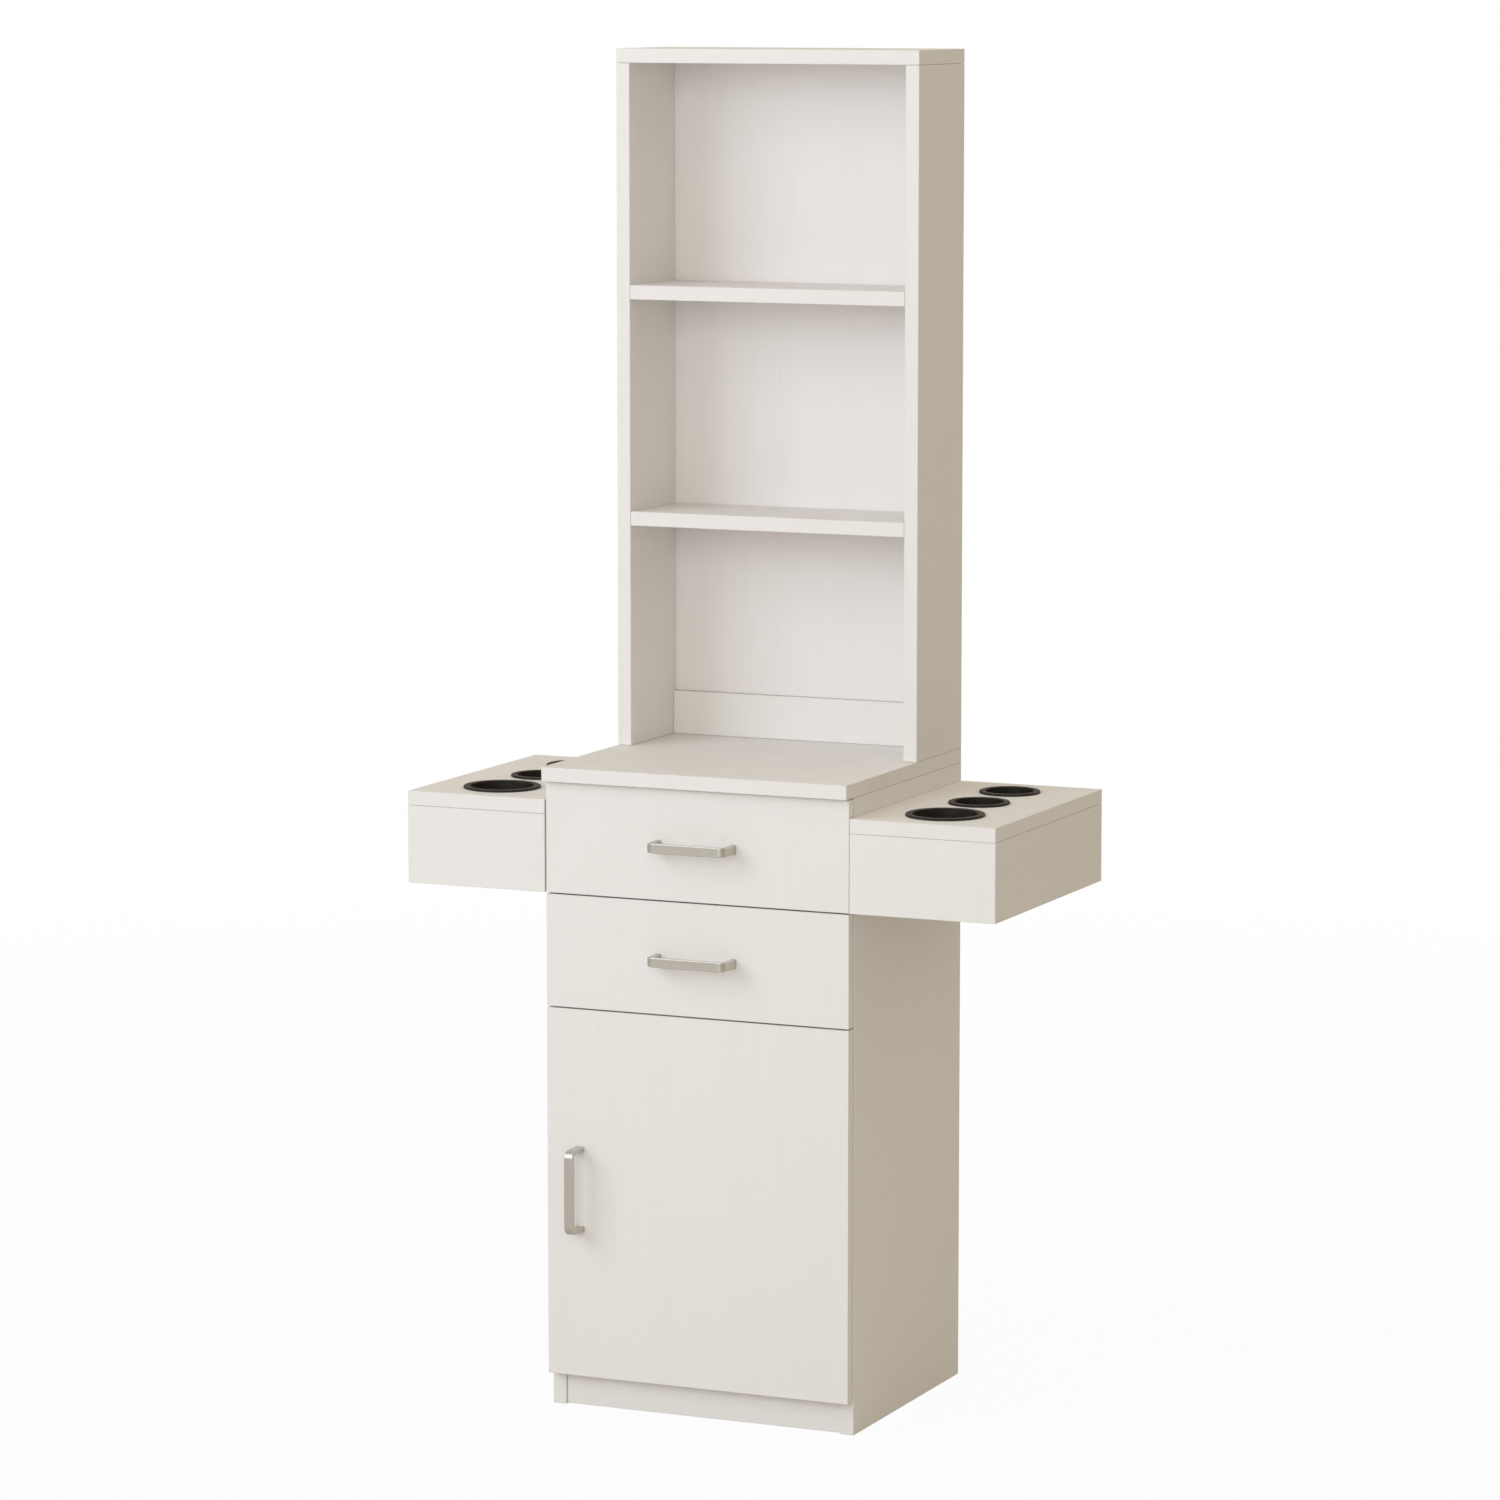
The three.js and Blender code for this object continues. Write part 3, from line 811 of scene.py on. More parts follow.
def cup_plastic(name, colour):
    """Black moulded plastic: satin, paler on the rim where it is rubbed and where a highlight is painted
    in, dusty on the floor.
    """
    material, tree, shader = new_material(name)
    own = object_place(tree)
    skin = use(tree, fine_skin(), Place=own, Scale=2200)
    # This rim mask carries both rubbing and a painted highlight of light caught on the rim's edge.
    wear = use(tree, edge_wear(), Place=own, Edge=attribute(tree, "rim", "Fac"), Amount=0.30)
    dust = use(tree, settled_dust(), Place=own, Amount=CUP_DUST)
    base = scaled(tree, colour, ramp(tree, skin["Shade"], 0.3, 0.7, 0.85, 1.15))
    # The rim is made paler here: partly rubbing, partly a painted highlight standing in for light on the
    # rim's edge.
    rubbed = blend(tree, wear["Mask"], base, (0.05, 0.045, 0.04, 1))
    dusty = blend(tree, dust["Mask"], rubbed, (0.30, 0.28, 0.25, 1))
    gloss = ramp(tree, skin["Shade"], 0.3, 0.7, *CUP_GLOSS)
    gloss = maths(tree, "ADD", gloss, maths(tree, "MULTIPLY", dust["Mask"], 0.6), clamp=True)
    join(tree, shader, dusty, gloss, skin["Relief"], 0.03 * MM, 0.6)
    shader.inputs["Specular IOR Level"].default_value = CUP_SPECULAR
    return material


def brushed(name, colour, contrast, roughness, place_of, wear_amount=0.35, depth=0.006 * MM):
    """Plated metal, brushed along the direction that 'place_of' draws out."""
    material, tree, shader = new_material(name)
    own = object_place(tree)
    marks = use(tree, brushed_metal(), Place=place_of(tree), Contrast=contrast, Roughness=roughness)
    wear = use(tree, edge_wear(), Place=own, Edge=attribute(tree, "rim", "Fac"), Amount=wear_amount)
    dust = use(tree, settled_dust(), Place=own, Amount=0.12)
    base = scaled(tree, colour, marks["Shade"])
    bright = [min(1.0, c * 1.22) for c in colour]
    rubbed = blend(tree, wear["Mask"], base, (*bright, 1))
    dusty = blend(tree, dust["Mask"], rubbed, (0.42, 0.40, 0.37, 1))
    join(tree, shader, dusty, marks["Gloss"], marks["Relief"], depth, 0.5)
    shader.inputs["Metallic"].default_value = 1.0
    return material


def along_run(tree):
    """The run map of a swept strip, drawn out along the strip."""
    run = add(tree, "ShaderNodeUVMap", uv_map="run").outputs["UV"]
    return add(tree, "ShaderNodeMapping", {"Vector": run, "Scale": (0.03, 1, 1)}).outputs[0]


def all_round(tree):
    return object_place(tree, (1, 1, 1))


def soft_clear(name, colour):
    """Clear soft plastic of the bumpers: milky, glossy, a little light passing in."""
    material, tree, shader = new_material(name)
    skin = use(tree, fine_skin(), Place=object_place(tree), Scale=900)
    base = scaled(tree, colour, ramp(tree, skin["Shade"], 0.3, 0.7, 0.94, 1.04))
    gloss = ramp(tree, skin["Shade"], 0.3, 0.7, 0.16, 0.26)
    join(tree, shader, base, gloss, skin["Relief"], 0.02 * MM, 0.5)
    shader.inputs["Transmission Weight"].default_value = 0.35
    shader.inputs["Subsurface Weight"].default_value = 0.2
    shader.inputs["Subsurface Scale"].default_value = 1 * MM
    return material


def finish(name):
    """A finish by its name, made when it is first asked for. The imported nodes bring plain
    materials named after their slots, so each finish is kept under a name of its own."""
    own = f"{name}_finish"
    made = bpy.data.materials.get(own)
    if made:
        return made
    c = colours()
    makers = {
        "laminate_upright": lambda: laminate(own, c.laminate, 2),
        "laminate_across": lambda: laminate(own, c.laminate, 0),
        "laminate_deep": lambda: laminate(own, c.laminate, 1),
        "drawer_board": lambda: laminate(own, c.drawer_board, 1, 0.6, (0.50, 0.62)),
        "thin_panel": lambda: laminate(own, c.thin_panel, 2, 1.3, (0.56, 0.66)),
        "nickel": lambda: brushed(own, c.nickel, 0.34, 0.34, along_run),
        "cup_plastic": lambda: cup_plastic(own, c.cup_plastic),
        "runner_steel": lambda: painted(own, c.runner_steel, 1300, 0.34, 0.03 * MM),
        "hinge_steel": lambda: brushed(own, c.hinge_steel, 0.10, 0.20, all_round, 0.5),
        "zinc": lambda: brushed(own, c.zinc, 0.16, 0.24, all_round, 0.5),
        "cap_plastic": lambda: painted(own, c.cap_plastic, 1600, 0.42, 0.02 * MM),
        "bumper": lambda: soft_clear(own, c.bumper)
    }
    return makers[name]()


# ---------------------------------------------------------------------------------------------
# Parts of the station

CUP_LIP = {"large": 6 * MM, "middle": 5 * MM, "rear": 5 * MM}  # a rim's reach past its hole
CUP_CLEARANCE = 0.7 * MM
CUP_WALL = 2 * MM
CUP_TAPER = 3 * MM
RIM_LIFT = 0.3 * MM
CLEARANCE = 0.3 * MM
HINGE_CUP_RADIUS = 17.5 * MM
PIN_RADIUS = 2.5 * MM
PIN_PITCH = 32 * MM
METAL = 1.2 * MM
LEG = 6 * MM


def middle_of(node):
    low, high = extent(node)
    return (low + high) / 2


def inner_face(side):
    """The X of a base side panel's inner face."""
    low, high = extent(f"base_side_{side}")
    return high[0] if side == "left" else low[0]


def groove_for(side_node, back_node, direction):
    """The groove of a side panel that a back panel runs in, open at neither end."""
    low, high = extent(side_node)
    back_low, back_high = extent(back_node)
    reach = back_high[0] - low[0] if direction[0] < 0 else high[0] - back_low[0]
    start = (0, back_low[1] - CLEARANCE, back_low[2] - CLEARANCE)
    end = (0, back_high[1] + CLEARANCE, high[2] - 1.5 * MM)
    return sunk(start, end, direction, 0.8 * MM, reach + CLEARANCE)


def pin_rows():
    """Where the shelf pins and the spare holes are: the Y of the two rows, the Z of the pins."""
    low, high = extent("cupboard_shelf")
    return (low[1] + 35 * MM, high[1] - 35 * MM), low[2] - PIN_RADIUS


def pin_holes(side, direction):
    rows, pin_height = pin_rows()
    x = inner_face(side)
    return [
        drilled((x, y, pin_height + step * PIN_PITCH), direction, PIN_RADIUS, 9 * MM, 16)
        for y in rows
        for step in range(-3, 4)
    ]


class StationPart:
    """What the part operators share."""

    bl_options = {"REGISTER"}


class STATION_OT_base_cabinet(StationPart, bpy.types.Operator):
    """Builds the base cabinet: side panels with their shelf-pin holes and grooves, plinth, bottom,
    divider, top rail, back panel, loose shelf and worktop"""

    bl_idname = "station.base_cabinet"
    bl_label = "Base Cabinet"

    def execute(self, context):
        upright, across = finish("laminate_upright"), finish("laminate_across")
        for side, sign in SIDES.items():
            node, inward = f"base_side_{side}", -sign * X
            cuts = [groove_for(node, "base_back_panel", inward), *pin_holes(side, inward)]
            board(node, inward, upright, cuts=cuts)
        board("plinth", -Y, across)
        for node in ("bottom_panel", "divider_panel", "top_rail", "cupboard_shelf", "worktop"):
            board(node, Z, across)
        board("base_back_panel", Y, finish("thin_panel"), arris=0.3 * MM)
        return {"FINISHED"}


class STATION_OT_shelf_unit(StationPart, bpy.types.Operator):
    """Builds the open shelf unit: sides with their grooves, top, two shelves, back panel and
    back rail"""

    bl_idname = "station.shelf_unit"
    bl_label = "Shelf Unit"

    def execute(self, context):
        upright, across = finish("laminate_upright"), finish("laminate_across")
        for side, sign in SIDES.items():
            node, inward = f"unit_side_{side}", -sign * X
            board(node, inward, upright, cuts=[groove_for(node, "unit_back_panel", inward)])
        for node in ("unit_top", "shelf_lower", "shelf_upper"):
            board(node, Z, across)
        board("unit_back_rail", -Y, across)
        board("unit_back_panel", Y, finish("thin_panel"), arris=0.3 * MM)
        return {"FINISHED"}


class STATION_OT_tool_boxes(StationPart, bpy.types.Operator):
    """Builds the tool-holder box on each side: a top with three round holes, front, sides, back
    and bottom"""

    bl_idname = "station.tool_boxes"
    bl_label = "Tool Boxes"

    def execute(self, context):
        across = finish("laminate_across")
        for side, sign in SIDES.items():
            cuts = [
                drilled(middle_of(cup), Z, hole_radius(name, cup), steps=sizes().circle_steps) for name,
                cup in ((name, f"cup_{name}_{side}") for name in CUP_NAMES)
            ]
            board(f"wing_{side}_top", Z, across, cuts=cuts)
            board(f"wing_{side}_front", -Y, across)
            board(f"wing_{side}_back", Y, across)
            board(f"wing_{side}_bottom", Z, across)
            board(f"wing_{side}_outer_side", sign * X, finish("laminate_deep"))
            board(f"wing_{side}_inner_side", -sign * X, finish("laminate_deep"))
        return {"FINISHED"}


def hole_radius(name, cup):
    low, high = extent(cup)
    return (high[0] - low[0]) / 2 - CUP_LIP[name]


class STATION_OT_cups(StationPart, bpy.types.Operator):
    """Builds the six drop-in cups: turned bodies with a rolled rim that lies on the box's top, a
    tapered wall and a floor with a shallow ring"""

    bl_idname = "station.cups"
    bl_label = "Cups"

    def execute(self, context):
        for side in SIDES:
            for name in CUP_NAMES:
                self.cup(name, f"cup_{name}_{side}")
        return {"FINISHED"}

    def cup(self, name, node):
        low, high = extent(node)
        rim = (high[0] - low[0]) / 2
        outside = rim - CUP_LIP[name] - CUP_CLEARANCE
        inside = outside - CUP_WALL
        depth = high[2] - low[2]
        under_rim = extent(f"wing_{node.split('_')[-1]}_top")[1][2] + RIM_LIFT - low[2]
        floor = CUP_WALL
        ring = 0.62 * inside
        roll = sizes().cup_round
        profile = (
            (outside * 0.4, 0), (outside - CUP_TAPER, 0), (outside - 0.6 * CUP_TAPER, depth * 0.4),
            (outside, under_rim), (rim, under_rim), (rim, depth), (inside, depth),
            (inside - 0.5 * CUP_TAPER, depth * 0.5), (inside - CUP_TAPER, floor),
            (ring + 2 * MM, floor), (ring, floor + 0.8 * MM), (ring * 0.4, floor + 0.8 * MM)
        )
        radii = (0, 3, 0, 0.3, 0.3, roll / MM, 1.1, 0, 4, 2, 2, 0)
        shell = turned(profile, np.array(radii) * MM, sizes().circle_steps)
        place = ((low[0] + high[0]) / 2, (low[1] + high[1]) / 2, low[2])
        piece(
            f"{node}_shell", shell.placed(place), finish("cup_plastic"), body_of(node),
            [node]
        )


class STATION_OT_drawers(StationPart, bpy.types.Operator):
    """Builds the two drawers: front, two sides, back and bottom, with the cover caps of the
    fittings that hold the front"""

    bl_idname = "station.drawers"
    bl_label = "Drawers"

    def execute(self, context):
        inner = finish("drawer_board")
        for row in ROWS:
            name = f"drawer_{row}"
            board(f"{name}_front", Y, finish("laminate_upright"))
            for side, sign in SIDES.items():
                board(f"{name}_side_{side}", -sign * X, inner)
            board(f"{name}_back", -Y, inner)
            board(f"{name}_bottom", Z, finish("thin_panel"), arris=0.3 * MM)
            self.caps(name)
        return {"FINISHED"}

    def caps(self, name):
        """Cover caps on the inner faces of the box's sides, near the front."""
        places = []
        for side, sign in SIDES.items():
            low, high = extent(f"{name}_side_{side}")
            x = low[0] if sign > 0 else high[0]
            places += [
                cap(8.5 * MM, 1 * MM).placed((x, low[1] + 30 * MM, low[2] + up), -sign * X)
                for up in (32 * MM, 78 * MM)
            ]
        piece(f"{name}_caps", all_of(places), finish("cap_plastic"), name)


def bow_path(length, reach, grip, bend):
    """The middle line of a bow handle in its own plane, as points and travel directions: out from
    one foot, round a bend, along the grip, round the other bend and back to the other foot."""
    half = length / 2 - LEG / 2
    out = reach - grip / 2
    feet = [(0, 1.5 * MM), (0, 3 * MM), (0, 5 * MM), (0, 8 * MM), (0, 12 * MM)]
    leg = [(0, 0)] + feet
    start = [(-half, -up) for _, up in leg]
    corners = start + [(-half, -out), (0, -out), (half, -out)] + [(-x, y) for x, y in start[::-1]]
    radii = [0] * len(leg) + [bend, 0, bend] + [0] * len(leg)
    points, normals, _ = rounded(corners, radii, 9, closed=False)
    return points, np.stack((-normals[:, 1], normals[:, 0]), axis=-1)


class STATION_OT_handles(StationPart, bpy.types.Operator):
    """Builds the three bow handles and their screws: a flat strip with rounded edges carried from
    foot to foot, thicker on the legs and spreading a little at the feet"""

    bl_idname = "station.handles"
    bl_label = "Handles"

    def execute(self, context):
        for node, front in (
            ("drawer_upper_handle", "drawer_upper_front"),
            ("drawer_lower_handle", "drawer_lower_front"), ("door_handle", "door_panel")
        ):
            self.handle(node, front)
        return {"FINISHED"}

    def handle(self, node, front):
        low, high = extent(node)
        size = high - low
        along, across = (X, Z) if size[0] > size[2] else (Z, -X)
        length, strip = max(size[0], size[2]), min(size[0], size[2])
        points, travel = bow_path(length, size[1], 5 * MM, 7.5 * MM)
        foot = (low + high) / 2
        foot[1] = high[1]
        path = foot + points[:, :1] * along + points[:, 1:] * Y
        tangents = travel[:, :1] * along + travel[:, 1:] * Y
        from_foot = np.abs(path[:, 1] - high[1])
        spread = np.exp(-((from_foot / (3.2 * MM)) ** 2))
        leg_share = np.abs(travel[:, 1])
        thick = 2.5 * MM + (LEG / 2 - 2.5 * MM) * leg_share + 0.5 * MM * spread
        wide = np.minimum(strip / 2, strip / 2 - 0.5 * MM * leg_share + 0.5 * MM * spread)
        shell = swept(path, tangents, across, wide, thick, 0.2, 4)
        body = body_of(node)
        piece(node + "_bow", shell, finish("nickel"), body, [node])
        rear = extent(front)[1][1]
        heads = []
        for end in (-1, 1):
            place = foot + along * end * (length / 2 - LEG / 2)
            place[1] = rear
            heads.append(washer(2.2 * MM, 5 * MM, 0.8 * MM).placed(place, Y))
            heads.append(cross_head(sizes().screw_head, 2.2 * MM).placed(place + 0.8 * MM * Y, Y))
        piece(node + "_screws", all_of(heads), finish("zinc"), body)


class STATION_OT_runners(StationPart, bpy.types.Operator):
    """Builds the drawer runners: on the cabinet a channel with turned-in lips and a roller at its
    front, on the drawer an angle whose web runs in the channel, with a roller at its rear"""

    bl_idname = "station.runners"
    bl_label = "Drawer Runners"

    ROLLER = 7.2 * MM
    LIP_TURN = 3.2 * MM

    def execute(self, context):
        for row in ROWS:
            for side, sign in SIDES.items():
                self.channel(f"runner_{row}_{side}", sign)
                self.angle(f"runner_{row}_{side}", sign, f"drawer_{row}")
        return {"FINISHED"}

    def strip(self, corners, radii, node, sign):
        """A folded metal outline, given as distance from the wall side and height, carried along
        the node's length. On the left the outline is the other way round."""
        low, high = extent(node)
        wall = high[0] if sign > 0 else low[0]
        outline = np.array(corners)
        radii = np.array(radii)
        if sign < 0:
            outline, radii = outline[::-1] * (-1, 1), radii[::-1]
        outline = outline + (-wall, (low[2] + high[2]) / 2)
        shape = rounded(outline, radii, sizes().arc_steps)
        return slab(shape, low[1], high[1], 0.15 * MM).placed((0, 0, 0), Y)

    def channel(self, name, sign):
        node = f"{name}_cabinet"
        low, high = extent(node)
        width, half, turn = high[0] - low[0], (high[2] - low[2]) / 2, self.LIP_TURN
        t = METAL
        corners = (
            (0, -half), (width, -half), (width, turn - half), (width - t, turn - half),
            (width - t, t - half), (t, t - half), (t, half - t), (width - t, half - t),
            (width - t, half - turn), (width, half - turn), (width, half), (0, half)
        )
        bend, inner, tip = 1.6 * MM, 0.5 * MM, 0.5 * MM
        radii = (bend, bend, tip, tip, inner, inner, inner, inner, tip, tip, bend, bend)
        shell = self.strip(corners, radii, node, sign)
        piece(f"{node}_channel", shell, finish("runner_steel"), "carcass", [node])
        wall = high[0] if sign > 0 else low[0]
        middle = (low[2] + high[2]) / 2
        web = wall - sign * t
        roller_at = (web - sign * 6.6 * MM, low[1] + 10 * MM, middle - self.ROLLER - 0.7 * MM)
        piece(
            f"{name}_front_roller", self.roller().placed(roller_at, sign * X), finish("cap_plastic"),
            "carcass"
        )
        screws = [
            cross_head(3.4 * MM, 1.8 * MM, 24).placed((web, low[1] + back, middle - 8 * MM), -sign * X)
            for back in (37 * MM, 165 * MM, 261 * MM)
        ]
        piece(f"{name}_cabinet_screws", all_of(screws), finish("zinc"), "carcass")

    def angle(self, name, sign, drawer):
        node = f"{name}_drawer"
        low, high = extent(node)
        width, half, t = high[0] - low[0], (high[2] - low[2]) / 2, METAL
        corners = (
            (0, -t / 2), (width - t, -t / 2), (width - t, -half), (width, -half), (width, half),
            (width - t, half), (width - t, t / 2), (0, t / 2)
        )
        tip, inner = 0.5 * MM, 0.6 * MM
        radii = (tip, inner, tip, tip, tip, tip, inner, tip)
        shell = self.strip(corners, radii, node, sign)
        piece(f"{node}_angle", shell, finish("runner_steel"), drawer, [node])
        flange = (low[0] if sign > 0 else high[0]) + sign * t
        middle = (low[2] + high[2]) / 2
        roller_at = (flange + sign * 3.2 * MM, high[1] - 10 * MM, middle + self.ROLLER + 0.7 * MM)
        piece(
            f"{name}_rear_roller", self.roller().placed(roller_at, sign * X), finish("cap_plastic"),
            drawer
        )
        screws = [
            cross_head(3 * MM, 1 * MM, 24).placed((flange, low[1] + back, middle - 8 * MM), sign * X)
            for back in (40 * MM, 150 * MM, 255 * MM)
        ]
        piece(f"{name}_drawer_screws", all_of(screws), finish("zinc"), drawer)

    def roller(self):
        """A nylon wheel with a rounded tread and a hub, turned about its own axis."""
        tread, hub = self.ROLLER, 2.6 * MM
        profile = (
            (hub * 0.4, -0.4 * MM), (hub, -0.4 * MM), (hub + 0.4 * MM, 0), (tread, 0),
            (tread, 4.6 * MM), (hub + 0.4 * MM, 4.6 * MM), (hub, 5.2 * MM), (hub * 0.4, 5.2 * MM)
        )
        radii = np.array((0, 0.15, 0.2, 0.9, 0.9, 0.2, 0.15, 0)) * MM
        return turned(profile, radii, 40)


class STATION_OT_door(StationPart, bpy.types.Operator):
    """Builds the door with its two hinge pockets, the bumpers on the fronts, the strike plate and
    the magnetic catch under the divider"""

    bl_idname = "station.door"
    bl_label = "Door and Catch"

    def execute(self, context):
        pockets = []
        for row in ROWS:
            place = middle_of(f"hinge_{row}_cup")
            depth = extent("door_panel")[1][1] - extent(f"hinge_{row}_cup")[0][1] + CLEARANCE
            pockets.append(drilled(place, Y, HINGE_CUP_RADIUS, depth, 64))
        board("door_panel", Y, finish("laminate_upright"), cuts=pockets)
        for node, body in (
            ("door_panel", "door"), ("drawer_upper_front", "drawer_upper"),
            ("drawer_lower_front", "drawer_lower")
        ):
            self.bumpers(node, body)
        self.catch()
        return {"FINISHED"}

    def bumpers(self, node, body):
        """Low clear domes where a front meets the edges of the side panels."""
        low, high = extent(node)
        x = abs(inner_face("right")) + 9 * MM
        sides = (-1,) if body == "door" else (-1, 1)
        domes = [
            turned(
                ((1.2 * MM, 0), (4 * MM, 0), (3.4 * MM, 0.8 * MM), (1 * MM, 1.05 * MM)),
                (0, 0.3 * MM, 0.6 * MM, 0), 32
            ).placed((sign * x, high[1], z), Y)
            for sign in sides
            for z in (low[2] + 14 * MM, high[2] - 14 * MM)
        ]
        piece(f"{node}_bumpers", all_of(domes), finish("bumper"), body)

    def catch(self):
        """A white case with two steel poles under the divider, and its plate on the door."""
        divider = extent("divider_panel")[0]
        door_rear = extent("door_panel")[1][1]
        x = middle_of("door_handle")[0]
        front, top = divider[1] + 0.6 * MM, divider[2] - 0.2 * MM
        case = rounded(rectangle((x - 23 * MM, front), (x + 23 * MM, front + 15 * MM)), 2 * MM, 4)
        body = slab(case, top - 12 * MM, top, 0.8 * MM)
        piece("catch_case", body, finish("cap_plastic"), "carcass")
        poles = [
            slab(
                rounded(rectangle((-x - 15 * MM, z - 1 * MM), (-x + 15 * MM, z + 1 * MM)), 0.4 * MM, 3),
                front - 0.4 * MM, front + 2 * MM, 0.2 * MM
            ).placed((0, 0, 0), Y)
            for z in (top - 4 * MM, top - 8 * MM)
        ]
        piece("catch_poles", all_of(poles), finish("hinge_steel"), "carcass")
        plate = rounded(
            rectangle((-x - 19 * MM, top - 13 * MM), (-x + 19 * MM, top + 1 * MM)), 2 * MM, 4
        )
        strike = slab(plate, door_rear, door_rear + 0.8 * MM, 0.25 * MM).placed((0, 0, 0), Y)
        piece("catch_strike", strike, finish("hinge_steel"), "door")


class STATION_OT_hinges(StationPart, bpy.types.Operator):
    """Builds the concealed hinges: a pressed cup with its winged flange in the door, and on the
    cabinet a mounting plate, the arm over it and their screws"""

    bl_idname = "station.hinges"
    bl_label = "Hinges"

    def execute(self, context):
        for row in ROWS:
            self.cup(f"hinge_{row}_cup")
            self.arm(f"hinge_{row}_arm")
        return {"FINISHED"}

    def cup(self, node):
        steel = finish("hinge_steel")
        place = middle_of(node)
        low = extent(node)[0]
        face = extent("door_panel")[1][1]
        depth = face - low[1]
        outer = HINGE_CUP_RADIUS - CLEARANCE
        profile = (
            (outer * 0.3, 0), (outer, 0), (outer, depth + 0.1 * MM),
            (outer + 2.4 * MM, depth + 0.1 * MM), (outer + 2.4 * MM, depth + 0.8 * MM),
            (outer - 1 * MM, depth + 0.8 * MM), (outer - 1.6 * MM, 1 * MM), (outer * 0.3, 1 * MM)
        )
        radii = np.array((0, 1.5, 0.2, 0.25, 0.3, 0.8, 3, 0)) * MM
        shell = turned(profile, radii, 64).placed((place[0], low[1], place[2]), Y)
        piece(f"{node}_pressing", shell, steel, "door", [node])
        wing = np.array(((-20, -9), (-4, -29), (10, -29), (20, -9), (20, 9), (10, 29), (-4, 29), (-20, 9)))
        centre = np.array((-place[0], place[2]))
        outline = rounded(centre + wing * MM, 4.5 * MM, 5)
        mouth = (circle(centre, outer + 2.6 * MM, 64), None)
        flange = slab(outline, face + 0.1 * MM, face + 0.7 * MM, 0.15 * MM, cuts=[mouth])
        piece(f"{node}_flange", flange.placed((0, 0, 0), Y), steel, "door")
        screws = [
            cross_head(3.1 * MM, 1.4 * MM, 24).placed(
                (place[0] - 4.5 * MM, face + 0.7 * MM, place[2] + up), Y
            )
            for up in (-24 * MM, 24 * MM)
        ]
        piece(f"{node}_screws", all_of(screws), finish("zinc"), "door")

    def arm(self, node):
        """A plate with rounded wings against the side panel, and over it an arm that narrows
        towards its rear, with the two setting screws."""
        steel = finish("hinge_steel")
        low, high = extent(node)
        wall, inner, middle = high[0], low[0], (low[2] + high[2]) / 2
        plate_y = np.array((22, 54)) * MM + low[1] - 5 * MM
        half = (high[2] - low[2]) / 2
        y0, y1 = plate_y
        corners = ((y1, middle - half), (y1, middle + half), (y0, middle + half), (y0, middle - half))
        face = -X
        frame_uv = facing(face)
        flat = [(np.array((0, y, z)) @ frame_uv)[:2] for y, z in corners]
        outline = rounded(np.array(flat)[::-1], 9 * MM, 6)
        base = slab(outline, -wall, -wall + 2 * MM, 0.3 * MM).placed((0, 0, 0), face)
        reach = high[1] - low[1]
        nose, waist, tail = 7 * MM, 6.2 * MM, 5.2 * MM
        shape = (
            (low[1], middle - nose), (low[1], middle + nose), (low[1] + 0.3 * reach, middle + nose),
            (low[1] + 0.6 * reach, middle + waist), (high[1], middle + tail), (high[1], middle - tail),
            (low[1] + 0.6 * reach, middle - waist), (low[1] + 0.3 * reach, middle - nose)
        )
        flat = np.array([(np.array((0, y, z)) @ frame_uv)[:2] for y, z in shape])
        radii = np.array((1.5, 1.5, 6, 10, 4, 4, 10, 6)) * MM
        outline = rounded(flat, radii, 5)
        rise = slab(outline, -wall + 2 * MM, -inner, 1.2 * MM).placed((0, 0, 0), face)
        piece(f"{node}_fitting", all_of((base, rise)), steel, "carcass", [node])
        screws = [
            cross_head(3.2 * MM, 1.6 * MM, 24).placed((wall - 2 * MM, (y0 + y1) / 2, middle + up), -X)
            for up in (-16 * MM, 16 * MM)
        ] + [
            cross_head(2.8 * MM, 1.2 * MM, 24).placed((inner, low[1] + back, middle), -X)
            for back in (0.28 * reach, 0.72 * reach)
        ]
        piece(f"{node}_screws", all_of(screws), finish("zinc"), "carcass")


